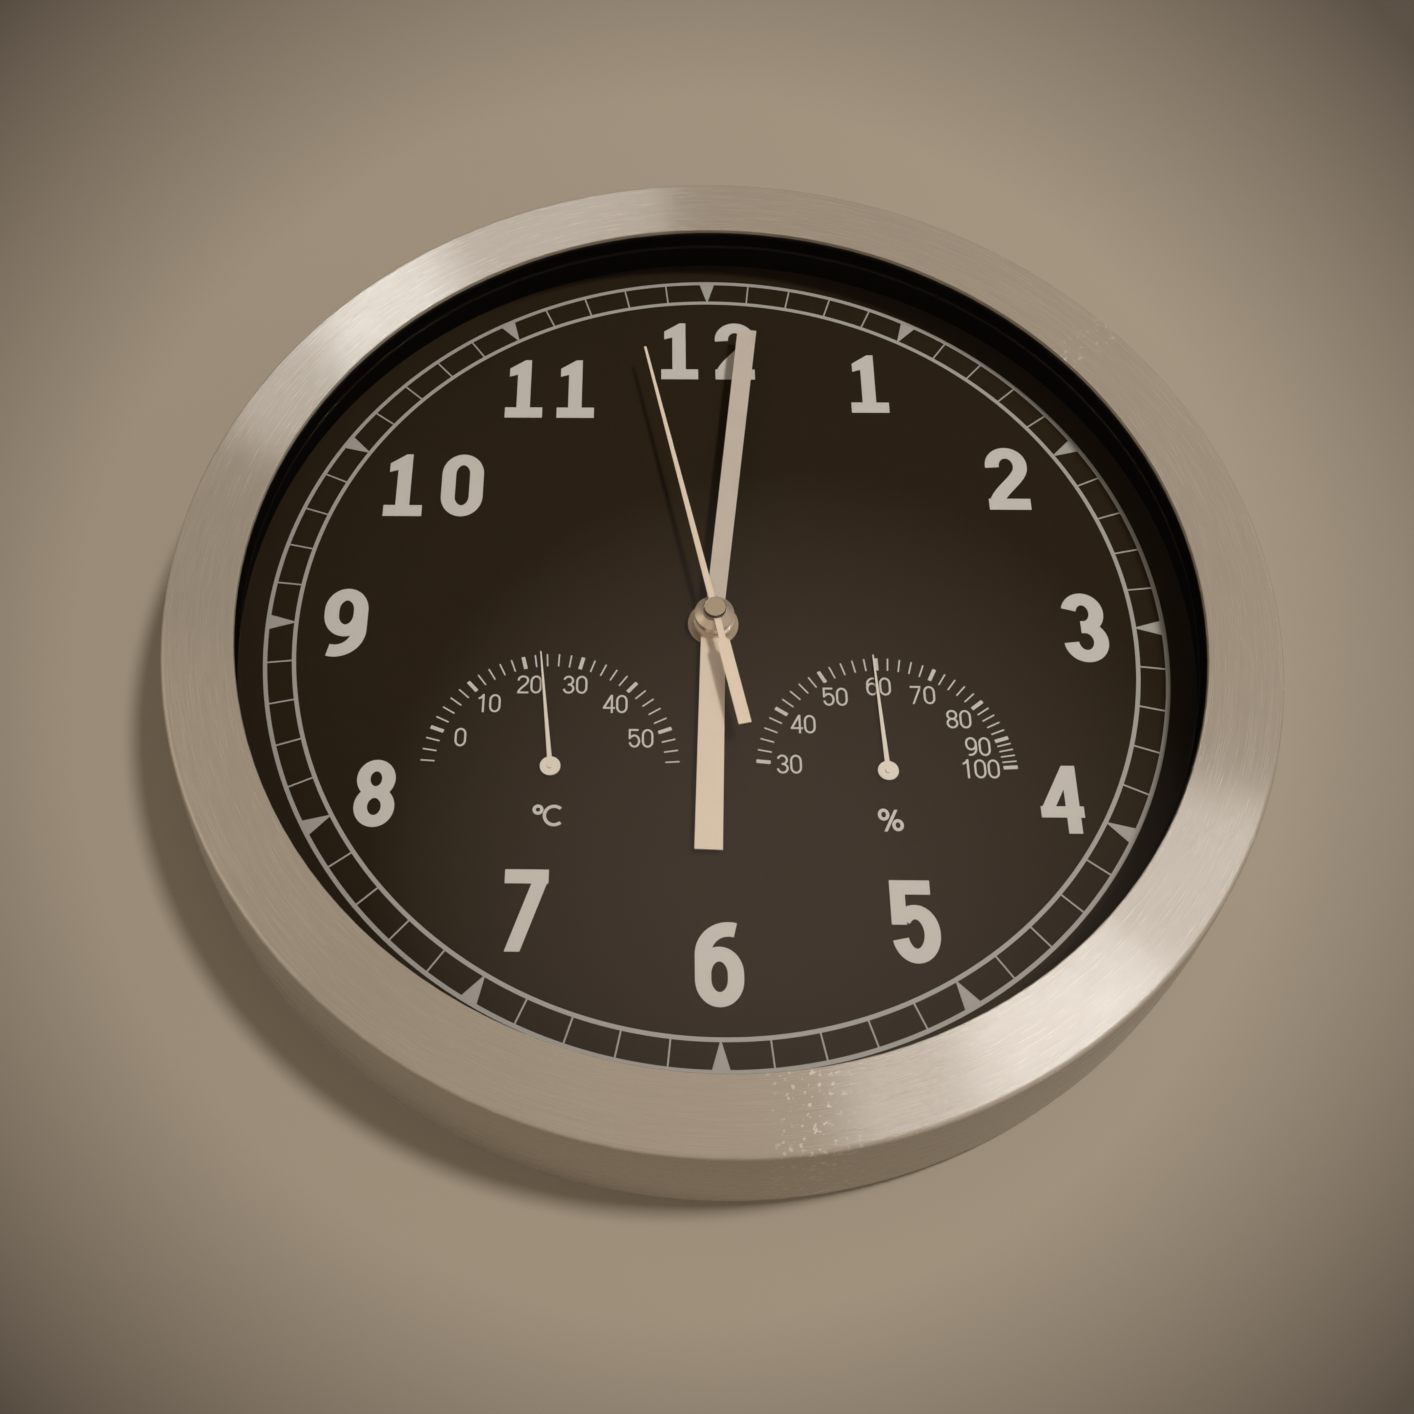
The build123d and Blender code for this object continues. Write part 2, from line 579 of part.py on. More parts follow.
def movement_cover():
    """The movement's rear half: a plate over the train, with button holes, posts and bearing holes."""
    cover = slab(cover_outline(), MOVEMENT_BACK, TRAIN_BACK)
    for place in board_post_places():
        cover += post(BOARD_POST_RADIUS, TRAIN_BACK, BOARD_BACK, place)
    for place in button_places():
        cover -= post(BUTTON_RADIUS + BUTTON_PLAY, MOVEMENT_BACK, TRAIN_BACK, place)
    for place in movement_screw_places():
        seat = MOVEMENT_BACK + MOVEMENT_SCREW_HEAD_HEIGHT
        cover -= post(MOVEMENT_SCREW_RADIUS + SCREW_PLAY, MOVEMENT_BACK, TRAIN_BACK, place)
        cover -= post(MOVEMENT_SCREW_HEAD_RADIUS + SCREW_PLAY, MOVEMENT_BACK, seat, place)
    for hole in pivot_holes(TRAIN_BACK - PIVOT_LENGTH - END_SHAKE, TRAIN_BACK):
        cover -= hole
    cover -= post(PIVOT_RADIUS + PIVOT_PLAY, TRAIN_BACK - PIVOT_LENGTH - END_SHAKE, TRAIN_BACK)
    return cover


def movement_screws():
    """The screws that hold the two halves of the movement together."""
    seat = MOVEMENT_BACK + MOVEMENT_SCREW_HEAD_HEIGHT
    return Compound([
        screw(place, seat, MOVEMENT_SCREW_RADIUS, MOVEMENT_SCREW_HEAD_RADIUS,
              MOVEMENT_SCREW_HEAD_HEIGHT, MOVEMENT_SCREW_LENGTH)
        for place in movement_screw_places()
    ])


def movement_gasket():
    """The soft washer between the movement and the dial."""
    return tube(GASKET_RADIUS, BUSH_RADIUS + DIAL_HOLE_PLAY, MOVEMENT_FRONT, DIAL_BACK)


def dial_washer():
    """The bright washer round the bush, on the front of the dial."""
    return tube(WASHER_RADIUS, BUSH_RADIUS + DIAL_HOLE_PLAY, DIAL_FRONT, DIAL_FRONT + WASHER_THICKNESS)


def dial_nut():
    """The hexagonal nut on the bush."""
    low = DIAL_FRONT + WASHER_THICKNESS
    nut = RegularPolygon(NUT_ACROSS_FLATS / 2, 6, major_radius=False) - Circle(BUSH_RADIUS + PRESS_GAP)
    return slab(nut, low, low + NUT_THICKNESS)


def gear(teeth, module, phase):
    """A toothed outline with straight flanks and running play; one tooth points along the phase."""
    pitch_radius = module * teeth / 2
    half = TOOTH_SHARE * math.pi * module / 2
    slope = math.tan(math.radians(FLANK_ANGLE))
    root = pitch_radius - DEDENDUM * module
    tip = pitch_radius + ADDENDUM * module
    root_turn = math.degrees((half + DEDENDUM * module * slope) / pitch_radius)
    tip_turn = math.degrees((half - ADDENDUM * module * slope) / pitch_radius)
    points = []
    for number in range(teeth):
        middle = phase + number * 360 / teeth
        points.append(polar(root, middle - root_turn))
        points.append(polar(tip, middle - tip_turn))
        points.append(polar(tip, middle + tip_turn))
        points.append(polar(root, middle + root_turn))
    return make_face(Polyline(*points, close=True))


def level(depth):
    """The height of a level that lies some way behind the front wall of the train."""
    return TRAIN_FRONT - depth


def wheel(teeth, module, phase, depth, thickness, place=(0, 0)):
    """A gear centred on one level of the train."""
    middle = level(depth)
    face = Pos(*place) * gear(teeth, module, phase)
    return slab(face, middle - thickness / 2, middle + thickness / 2)


def facing(angle, teeth):
    """The phase that puts a gap between two teeth opposite a wheel that lies at an angle."""
    return angle + 180 + 180 / teeth


def arbor(place):
    """A shaft between the movement's walls, with a thinner pivot at each end."""
    low = TRAIN_BACK + END_SHAKE
    high = TRAIN_FRONT - END_SHAKE
    body = post(ARBOR_RADIUS, low, high, place)
    body += post(PIVOT_RADIUS, low - PIVOT_LENGTH, high + PIVOT_LENGTH, place)
    return body


def intermediate_wheel(angle, pinion_depth):
    """The wheel and pinion between a motor and the wheel that it drives."""
    place = polar(SECOND_CENTRES, angle)
    body = arbor(place)
    body += wheel(FIRST_WHEEL_TEETH, FIRST_MODULE, angle, ROTOR_LEVEL, WHEEL_THICKNESS, place)
    phase = facing(angle, PINION_TEETH)
    body += wheel(PINION_TEETH, SECOND_MODULE, phase, pinion_depth, PINION_LENGTH, place)
    return body


def rotor(angle):
    """A motor's magnet with its pinion."""
    place = polar(SECOND_CENTRES + FIRST_CENTRES, angle)
    body = arbor(place)
    phase = facing(angle, PINION_TEETH)
    body += wheel(PINION_TEETH, FIRST_MODULE, phase, ROTOR_LEVEL, PINION_LENGTH, place)
    middle = level(MAGNET_LEVEL)
    body += post(MAGNET_RADIUS, middle - MAGNET_LENGTH / 2, middle + MAGNET_LENGTH / 2, place)
    return body


def stator(angle):
    """The soft iron plate round a magnet, with two legs that reach to the coil."""
    nose_start = -STATOR_NOSE
    length = STATOR_NOSE + STATOR_REACH
    plate = Pos(nose_start + length / 2, 0) * Rectangle(length, STATOR_HEIGHT)
    window = STATOR_REACH - STATOR_BRIDGE
    window_height = STATOR_HEIGHT - 2 * STATOR_LEG
    plate -= Pos(STATOR_BRIDGE + window / 2, 0) * Rectangle(window, window_height)
    plate -= Circle(MAGNET_RADIUS + STATOR_GAP)
    plate = Rot(0, 0, angle) * (Pos(SECOND_CENTRES + FIRST_CENTRES, 0) * plate)
    middle = level(MAGNET_LEVEL)
    return slab(plate, middle - STATOR_SHEET / 2, middle + STATOR_SHEET / 2)


def coil(angle):
    """A motor's winding on its flat core, which lies across the legs of the stator."""
    place = polar(SECOND_CENTRES + FIRST_CENTRES + CORE_OFFSET, angle)
    core_front = level(MAGNET_LEVEL) - STATOR_SHEET / 2
    core_middle = core_front - CORE_SHEET / 2
    core = slab(Pos(*place) * Rectangle(CORE_WIDTH, STATOR_HEIGHT), core_front - CORE_SHEET, core_front)
    winding = extrude(Plane.XY.offset(-COIL_LENGTH / 2) * Pos(place[0], -core_middle) * Circle(COIL_RADIUS),
                      amount=COIL_LENGTH)
    return core + winding


def seconds_wheel():
    """The seconds wheel on the long arbor that carries the second hand."""
    low = TRAIN_BACK + END_SHAKE
    high = DIAL_FRONT + SECOND_HAND_HEIGHT + SECOND_HAND_THICKNESS
    body = post(SECONDS_ARBOR_RADIUS, low, high)
    body += post(PIVOT_RADIUS, low - PIVOT_LENGTH, low)
    phase = SECONDS_TRAIN_ANGLE
    body += wheel(SECOND_WHEEL_TEETH, SECOND_MODULE, phase, SECONDS_LEVEL, WHEEL_THICKNESS)
    return body


def minute_wheel():
    """The minute wheel with its pipe and the cannon pinion that drives the motion wheel."""
    low = level(MINUTE_LEVEL) - WHEEL_THICKNESS / 2
    high = DIAL_FRONT + MINUTE_HAND_HEIGHT + HAND_THICKNESS
    body = post(MINUTE_PIPE_RADIUS, low, high)
    phase = MINUTE_TRAIN_ANGLE
    body += wheel(SECOND_WHEEL_TEETH, SECOND_MODULE, phase, MINUTE_LEVEL, WHEEL_THICKNESS)
    body += wheel(CANNON_TEETH, CANNON_MODULE, MOTION_ANGLE, MOTION_LEVEL, PINION_LENGTH)
    body -= post(SECONDS_ARBOR_RADIUS + PIPE_PLAY, low, high)
    return body


def motion_wheel():
    """The wheel and pinion that slow the minute hand's turning down for the hour hand."""
    place = polar(MOTION_CENTRES, MOTION_ANGLE)
    body = arbor(place)
    phase = facing(MOTION_ANGLE, MOTION_TEETH)
    body += wheel(MOTION_TEETH, CANNON_MODULE, phase, MOTION_LEVEL, WHEEL_THICKNESS, place)
    phase = facing(MOTION_ANGLE, PINION_TEETH)
    body += wheel(PINION_TEETH, HOUR_MODULE, phase, HOUR_LEVEL, PINION_LENGTH, place)
    return body


def hour_wheel():
    """The hour wheel with the pipe that carries the hour hand."""
    low = level(HOUR_LEVEL) - WHEEL_THICKNESS / 2
    high = DIAL_FRONT + HOUR_HAND_HEIGHT + HOUR_COLLAR_HEIGHT
    body = post(HOUR_PIPE_RADIUS, low, high)
    body += wheel(HOUR_WHEEL_TEETH, HOUR_MODULE, MOTION_ANGLE, HOUR_LEVEL, WHEEL_THICKNESS)
    body -= post(MINUTE_PIPE_RADIUS + PIPE_PLAY, low, high)
    return body


def blade(root, tip, length):
    """A straight hand that widens a little from its root to a square tip."""
    corners = [(-root / 2, 0), (-tip / 2, length), (tip / 2, length), (root / 2, 0)]
    return make_face(Polyline(*corners, close=True))


def hour_hand():
    """The hour hand with its flanged collar on the hour pipe."""
    low = DIAL_FRONT + HOUR_HAND_HEIGHT
    rim = low + HOUR_FLANGE_THICKNESS
    high = low + HOUR_COLLAR_HEIGHT
    outline = blade(HOUR_HAND_ROOT, HOUR_HAND_TIP, HOUR_HAND_LENGTH)
    body = slab(clockwise(outline, HOUR_HAND_ANGLE), low, low + HAND_THICKNESS)
    body += turned([
        (0, low),
        (HOUR_FLANGE_RADIUS, low),
        (HOUR_FLANGE_RADIUS, rim - COLLAR_CHAMFER),
        (HOUR_FLANGE_RADIUS - COLLAR_CHAMFER, rim),
        (HOUR_COLLAR_RADIUS, rim),
        (HOUR_COLLAR_RADIUS, high),
        (0, high),
    ])
    body -= post(HOUR_PIPE_RADIUS + PRESS_GAP, low, high)
    return body


def minute_hand():
    """The minute hand with its bell-shaped collar on the minute pipe."""
    low = DIAL_FRONT + MINUTE_HAND_HEIGHT
    rim = low + HAND_THICKNESS
    high = low + MINUTE_COLLAR_HEIGHT
    outline = blade(MINUTE_HAND_ROOT, MINUTE_HAND_TIP, MINUTE_HAND_LENGTH)
    body = slab(clockwise(outline, MINUTE_HAND_ANGLE), low, rim)
    body += turned([
        (0, low),
        (MINUTE_COLLAR_RADIUS, low),
        (MINUTE_COLLAR_RADIUS, rim - COLLAR_CHAMFER),
        (MINUTE_COLLAR_RADIUS - COLLAR_CHAMFER, rim),
        (MINUTE_COLLAR_TOP_RADIUS, high),
        (0, high),
    ])
    body -= post(MINUTE_PIPE_RADIUS + PRESS_GAP, low, high)
    return body


def second_hand():
    """The thin second hand, with a narrow neck and a wider counterweight behind the axis."""
    neck = SECOND_HAND_ROOT / 2
    tip = SECOND_HAND_TIP / 2
    tail = SECOND_TAIL_WIDTH / 2
    shoulder = -SECOND_TAIL_NECK - SECOND_TAIL_SHOULDER
    right = [(tip, SECOND_HAND_LENGTH), (neck, 0), (neck, -SECOND_TAIL_NECK),
             (tail, shoulder), (tail, -SECOND_TAIL_LENGTH)]
    left = [(-x, y) for x, y in reversed(right)]
    outline = make_face(Polyline(*right, *left, close=True)) + Circle(CAP_RADIUS)
    outline -= Circle(SECONDS_ARBOR_RADIUS + PRESS_GAP)
    low = DIAL_FRONT + SECOND_HAND_HEIGHT
    return slab(clockwise(outline, SECOND_HAND_ANGLE), low, low + SECOND_HAND_THICKNESS)


def second_hand_cap():
    """The polished cap over the axis, on top of the second hand."""
    cap = post(CAP_RADIUS, CAP_FRONT - CAP_HEIGHT, CAP_FRONT)
    return fillet(cap.edges().group_by(Axis.Y)[0], CAP_ROUND)


def battery():
    """A round cell that lies across the bay, its nub to the right."""
    start = CONTACT_SPRING - BAY_HALF_LENGTH
    end = start + BATTERY_LENGTH
    axis = Plane.YZ.offset(start) * Pos(-BATTERY_HEIGHT, BATTERY_CENTRE)
    body = extrude(axis * Circle(BATTERY_RADIUS), amount=BATTERY_LENGTH)
    body = fillet(body.edges().filter_by(GeomType.CIRCLE), BATTERY_ROUND)
    nub_axis = Plane.YZ.offset(end) * Pos(-BATTERY_HEIGHT, BATTERY_CENTRE)
    return body + extrude(nub_axis * Circle(BATTERY_NUB_RADIUS), amount=BATTERY_NUB_LENGTH)


def bent_strip(points, width):
    """A metal strip bent in X and Y, of one width in Z, centred on the battery."""
    bend = trace(Polyline(*points), CONTACT_SHEET)
    return extrude(Plane.XY.offset(BATTERY_CENTRE - width / 2) * bend, amount=width)


def battery_contact(side, reach):
    """A leaf against the bay's end wall, bent over to touch the end of the battery."""
    wall = side * (BAY_HALF_LENGTH - CONTACT_SHEET / 2)
    touch = side * (BAY_HALF_LENGTH - reach + CONTACT_SHEET / 2)
    back = CONTACT_REACH - BATTERY_HEIGHT
    front = -CONTACT_REACH - BATTERY_HEIGHT
    return bent_strip([(wall, back), (wall, front), (touch, -BATTERY_HEIGHT), (touch, back)], CONTACT_WIDTH)


def circuit_board():
    """The board that holds the controller and the switches under the buttons."""
    board = Pos(0, BOARD_CENTRE) * Rectangle(BOARD_WIDTH, BOARD_HEIGHT)
    return slab(board, BOARD_BACK, BOARD_BACK + BOARD_THICKNESS)


def controller_chip():
    """The sealed controller, a round blob on the board's rear."""
    return post(CHIP_RADIUS, BOARD_BACK - CHIP_HEIGHT, BOARD_BACK, (CHIP_OFFSET, BOARD_CENTRE))


def button_switches():
    """A square switch on the board under each button."""
    low = BOARD_BACK - SWITCH_HEIGHT
    return Compound([
        slab(Pos(*place) * Rectangle(SWITCH_SIZE, SWITCH_SIZE), low, BOARD_BACK)
        for place in button_places()
    ])


def antenna_bar(radius, length):
    """A round bar across the top of the movement."""
    axis = Pos(-TRAIN_BACK - ANTENNA_LEVEL, ANTENNA_CENTRE)
    return extrude(Plane.YZ.offset(-length / 2) * axis * Circle(radius), amount=length)


def antenna_rod():
    """The ferrite rod of the receiver."""
    return antenna_bar(ANTENNA_RADIUS, ANTENNA_LENGTH)


def antenna_winding():
    """The winding round the middle of the ferrite rod."""
    outer = antenna_bar(ANTENNA_RADIUS + ANTENNA_WINDING, ANTENNA_WINDING_LENGTH)
    return outer - antenna_bar(ANTENNA_RADIUS + PRESS_GAP, ANTENNA_WINDING_LENGTH)


def push_button(place):
    """A round button through the movement cover, with a flange that keeps it in."""
    flange_back = TRAIN_BACK + END_SHAKE
    inner_end = BOARD_BACK - SWITCH_HEIGHT - BUTTON_TRAVEL - SWITCH_GAP
    body = post(BUTTON_RADIUS, MOVEMENT_BACK - BUTTON_RISE, inner_end, place)
    body = fillet(body.edges().group_by(Axis.Y)[-1], BUTTON_ROUND)
    return body + post(BUTTON_FLANGE_RADIUS, flange_back, flange_back + BUTTON_FLANGE, place)


def gauge_cup(place):
    """The cup behind the dial that holds a gauge's coil, with air holes in its floor."""
    cup = post(CUP_RADIUS, CUP_BACK, DIAL_BACK, place)
    cup -= post(CUP_RADIUS - CUP_WALL, CUP_BACK + CUP_WALL, DIAL_BACK, place)
    for number in range(CUP_HOLE_COUNT):
        hole = shifted(place, polar(CUP_HOLE_CIRCLE, (number + 0.5) * 360 / CUP_HOLE_COUNT))
        cup -= post(CUP_HOLE_RADIUS, CUP_BACK, CUP_BACK + CUP_WALL, hole)
    anchor = shifted(place, (-strip_radius(STRIP_HALF_TURNS - 1) - ANCHOR_RADIUS - PRESS_GAP, 0))
    strip_top = CUP_BACK + CUP_WALL + STRIP_WIDTH
    cup += post(ANCHOR_RADIUS, CUP_BACK, strip_top, anchor)
    cup -= post(GAUGE_ARBOR_RADIUS + PIVOT_PLAY, CUP_BACK, CUP_BACK + CUP_WALL, place)
    return cup


def strip_radius(half_turns):
    """The outer radius of the gauge strip after a number of half turns."""
    return GAUGE_COLLET_RADIUS + PRESS_GAP + STRIP_THICKNESS + half_turns * STRIP_PITCH / 2


def gauge_coil(place):
    """A flat spiral strip of half turns, fixed to the arbor inside and to the cup outside."""
    spiral = Sketch()
    for number in range(STRIP_HALF_TURNS):
        side = 1 if number % 2 == 0 else -1
        outer = strip_radius(number)
        centre = 0 if side == 1 else STRIP_PITCH / 2
        ring = Circle(outer) - Circle(outer - STRIP_THICKNESS)
        half = Pos(0, side * outer) * Rectangle(2 * outer, 2 * outer)
        spiral += Pos(centre, 0) * (ring & half)
    low = CUP_BACK + CUP_WALL + END_SHAKE
    return slab(Pos(*place) * spiral, low, low + STRIP_WIDTH)


def gauge_arbor(place):
    """The shaft from the cup's floor through the dial, with the collet of the coil."""
    body = post(GAUGE_ARBOR_RADIUS, CUP_BACK, DIAL_FRONT + POINTER_HEIGHT + POINTER_THICKNESS, place)
    low = CUP_BACK + CUP_WALL + END_SHAKE
    return body + post(GAUGE_COLLET_RADIUS, low, low + STRIP_WIDTH, place)


def gauge_pointer(place, angle):
    """A slim pointer with a round hub and a centre pin."""
    needle = blade(POINTER_ROOT, POINTER_TIP, POINTER_LENGTH) + Circle(POINTER_HUB_RADIUS)
    low = DIAL_FRONT + POINTER_HEIGHT
    high = low + POINTER_THICKNESS
    body = slab(Pos(*place) * clockwise(needle, angle), low, high)
    body -= post(GAUGE_ARBOR_RADIUS + PRESS_GAP, low, high, place)
    return body + post(POINTER_PIN_RADIUS, high, high + POINTER_PIN_HEIGHT, place)


def all_parts():
    """Every piece of the clock by name."""
    parts = {
        "frame_ring": frame_ring(),
        "glass_lens": glass_lens(),
        "dial_ring": dial_ring(),
        "dial_plate": dial_plate(),
        "rear_cover": rear_cover(),
        "rear_cover_screws": rear_cover_screws(),
        "movement_case": movement_case(),
        "movement_cover": movement_cover(),
        "movement_screws": movement_screws(),
        "movement_gasket": movement_gasket(),
        "dial_washer": dial_washer(),
        "dial_nut": dial_nut(),
        "seconds_wheel": seconds_wheel(),
        "seconds_intermediate_wheel": intermediate_wheel(SECONDS_TRAIN_ANGLE, SECONDS_LEVEL),
        "minute_wheel": minute_wheel(),
        "minute_intermediate_wheel": intermediate_wheel(MINUTE_TRAIN_ANGLE, MINUTE_LEVEL),
        "motion_wheel": motion_wheel(),
        "hour_wheel": hour_wheel(),
        "hour_hand": hour_hand(),
        "minute_hand": minute_hand(),
        "second_hand": second_hand(),
        "second_hand_cap": second_hand_cap(),
        "battery": battery(),
        "battery_contact_negative": battery_contact(-1, CONTACT_SPRING),
        "battery_contact_positive": battery_contact(1, CONTACT_TAB),
        "circuit_board": circuit_board(),
        "controller_chip": controller_chip(),
        "button_switches": button_switches(),
        "antenna_rod": antenna_rod(),
        "antenna_winding": antenna_winding(),
    }
    for name, angle in (("seconds", SECONDS_TRAIN_ANGLE), ("minute", MINUTE_TRAIN_ANGLE)):
        parts[name + "_rotor"] = rotor(angle)
        parts[name + "_stator"] = stator(angle)
        parts[name + "_coil"] = coil(angle)
    for name, place in zip(BUTTON_NAMES, button_places()):
        parts[name] = push_button(place)
    gauges = (
        ("thermometer", THERMOMETER_PLACE, THERMOMETER_ANGLE),
        ("hygrometer", HYGROMETER_PLACE, HYGROMETER_ANGLE),
    )
    for name, place, angle in gauges:
        parts[name + "_cup"] = gauge_cup(place)
        parts[name + "_coil"] = gauge_coil(place)
        parts[name + "_arbor"] = gauge_arbor(place)
        parts[name + "_pointer"] = gauge_pointer(place, angle)
    return parts


os.makedirs("parts", exist_ok=True)
for part_name, shape in all_parts().items():
    export_step(shape, "parts/" + part_name + ".step")
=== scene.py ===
"""Looks of a wall clock with a thermometer and a hygrometer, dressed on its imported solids.

Everything is in metres, in the frame of the solids: the front looks towards -Y, +Z is up and the
wall is at Y = 0. The print on the dial is drawn in millimetres and scaled when it is put in place.
"""
import json
import math

import bpy
from mathutils import Matrix, Vector
from mathutils.geometry import interpolate_bezier


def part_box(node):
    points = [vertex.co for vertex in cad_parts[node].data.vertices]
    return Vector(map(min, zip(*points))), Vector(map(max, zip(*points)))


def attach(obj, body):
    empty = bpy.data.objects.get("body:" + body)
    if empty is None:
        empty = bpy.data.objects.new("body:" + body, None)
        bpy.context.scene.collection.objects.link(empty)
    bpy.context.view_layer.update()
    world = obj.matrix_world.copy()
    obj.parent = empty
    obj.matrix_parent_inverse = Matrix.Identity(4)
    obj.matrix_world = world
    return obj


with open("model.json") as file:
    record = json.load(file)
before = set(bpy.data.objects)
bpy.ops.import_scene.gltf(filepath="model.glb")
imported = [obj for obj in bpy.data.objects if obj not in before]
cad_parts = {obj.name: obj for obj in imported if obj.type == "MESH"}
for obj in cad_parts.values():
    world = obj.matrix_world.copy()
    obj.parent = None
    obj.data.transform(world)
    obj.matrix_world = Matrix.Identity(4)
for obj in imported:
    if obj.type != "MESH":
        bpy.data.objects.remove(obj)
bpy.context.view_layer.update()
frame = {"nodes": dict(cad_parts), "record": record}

MM = 0.001

# Camera, at the photograph's place and framing
CAMERA_PLACE = (-0.02143, -0.34973, -0.19424)
CAMERA_TARGET = (-0.02781, -0.019, -0.04146)
CAMERA_ROLL = math.radians(0.96)
CAMERA_LENS = 35.35
CAMERA_SHIFT = (0.06895, 0.0383)
CAMERA_NEAR = 0.01

# Lamps, with powers in watts and angles in degrees clockwise from twelve
LAMPS = {
    "soft_lamp": {"place": (0.52, -1.34, 0.11), "size": 0.20, "power": 11.8, "colour": (1.0, 0.92, 0.81)},
    "left_fill": {"place": (-1.3, -1.2, 0.2), "size": 1.2, "power": 2.0, "colour": (1.0, 0.86, 0.68)},
}
SHEENS = {
    "right_sheen": {"angle": 146.0, "length": 0.26, "power": 0.85},
    "right_shoulder": {"angle": 143.0, "length": 0.75, "power": 2.3},
    "left_sheen": {"angle": 317.0, "length": 0.20, "power": 0.8},
    "left_shoulder": {"angle": 323.0, "length": 0.70, "power": 1.7},
}
SHEEN_RADIUS = 0.150
SHEEN_DISTANCE = 1.4
SHEEN_WIDTH = 0.07
SHEEN_COLOUR = (0.88, 0.94, 1.0)
SHEEN_PIECES = ("frame_ring", "hour_hand", "minute_hand", "second_hand", "second_hand_cap", "dial_washer",
                "thermometer_pointer", "hygrometer_pointer")
REAR_SPOT_PLACE = (0.8, 2.7, 0.9)
REAR_SPOT_POWER = 480.0
REAR_SPOT_SIZE = 0.3
REAR_SPOT_REACH = 0.152
REAR_SPOT_BLEND = 0.25

# Room: its light, the sides where it is dim or glows, and the cosines between which each fades in
ROOM_LIGHT = (0.365, 0.292, 0.209)
ROOM_DARK = (0.030, 0.025, 0.019)
ROOM_DARK_SIDE = (0.05, -0.86, 0.51)
ROOM_DARK_EDGE = (0.66, 0.93)
ROOM_GLOW = (0.70, 0.55, 0.46)
ROOM_GLOW_SIDE = (0.100, -0.935, 0.340)
ROOM_GLOW_EDGE = (0.958, 1.0)

# Wall: its place, its lit paint, painted shade further out, the oval of its painted light pool, its grain
WALL_SIZE = 8.0
WALL_GAP = 0.0003
WALL_LIT_PAINT = (0.422, 0.388, 0.342)
WALL_PAINTED_SHADE = (0.110, 0.0985, 0.0860)
WALL_LIT_POOL_DROP = 0.016
WALL_LIT_POOL_LEFT = 0.010
WALL_LIT_POOL_WIDTH = 0.203
WALL_LIT_POOL_SPREAD = 0.2126
WALL_LIT_POOL_TALLER = 1.124
WALL_LIT_POOL_FADE = (0.86, 1.4)
WALL_GRAIN = 420.0
WALL_ROUGHNESS = 0.85
WALL_BUMP = (0.12, 0.0004)

# Glass: the share of light that it mirrors, seen straight on, and how fast that grows with the slope
GLASS_MIRROR = 0.026
GLASS_RISE = 5.0
GLASS_TINT = (0.95, 0.96, 0.95)
GLASS_ROUGHNESS = 0.01

# Wear on the ring: its angles in degrees clockwise from twelve, then its specks and tint
SEAM_ANGLE = 52.0
SEAM_HALF_WIDTH = 2.2
SCUFF_ANGLE = 172.0
SCUFF_HALF_WIDTH = 5.0
WEAR_GRAIN = 700.0
WEAR_EDGE = (0.60, 0.66)
WEAR_SHARE = 0.8
WEAR_TINT = (0.95, 0.93, 0.90)

# Ring: brush lines by how close they are round the axis and across, and the tones and gloss they give
FINE_BRUSH = (11.0, 4600.0)
COARSE_BRUSH = (5.0, 900.0)
FINE_BRUSH_SHARE = 0.75
RING_DARK = (0.505, 0.463, 0.414)
RING_LIGHT = (0.595, 0.550, 0.498)
RING_ROUGHNESS = (0.18, 0.31)
RING_UNEVEN = 0.02
RING_MOTTLE = 38.0
RING_METALLIC = 0.40
RING_BUMP = (0.06, 0.0001)

# Hands and cap
BLADE_DARK = (0.90, 0.795, 0.68)
BLADE_LIGHT = (0.98, 0.865, 0.745)
# The hour hand is less metallic and the minute hand more, on the same tones, so one looks lighter and the
# other darker: painted light and shade
HOUR_LIT_METALLIC = 0.3
MINUTE_SHADED_METALLIC = 0.75
SECOND_METALLIC = 0.12
COLLAR_EDGE = (0.0053, 0.0057)
COLLAR_METALLIC = 0.7
COLLAR_POLISH = 0.14
# Cap: its side and rounded edge painted dark, a painted reflection of the dark dial, fading to the face
# between the edge cosines
CAP_REFLECTION_EDGE = (0.80, 0.985)
CAP_SIDE_PAINTED_REFLECTION = (0.07, 0.055, 0.04)
CAP_FACE = (0.62, 0.52, 0.385)
CAP_ROUGHNESS = (0.30, 0.36)
CAP_GRAIN = 900.0
CAP_METALLIC = 0.5
CAP_BUMP = (0.01, 0.0001)

# Patterns: the range that noise mostly keeps to, and the grain of the plain finishes
PATTERN_SPAN = (0.3, 0.7)
GRAIN_FINE_SHARE = 0.55
GRAIN_BROADER = 18
GRAIN_HEIGHT = 0.0002

# Print on the dial: lengths in millimetres, angles in degrees, shares and counts
PRINT_THICKNESS = 0.06
ARC_STEP = 7.5
BEND_POINTS = 14
OVAL_CAP = 1.25
MERGE_DISTANCE = 0.001
TRACK_OUTER = 122.7
TRACK_INNER = 114.85
TRACK_LINE = 1.14
TRACK_TICK = 0.42
TRACK_WEDGE = 4.4
TRACK_STEPS = 6
MINUTES = 60
MINUTES_PER_HOUR_MARK = 5
NUMERAL_RADII = {12: 95.9, 1: 96.6, 2: 98.8, 3: 101.4, 4: 102.4, 5: 97.7,
                 6: 96.1, 7: 95.5, 8: 102.4, 9: 101.3, 10: 92.2, 11: 93.9}
SMALLER_NUMERALS = (4, 8)
SMALLER_SCALE = 0.88
NUMERAL_WIDTH = 12.05
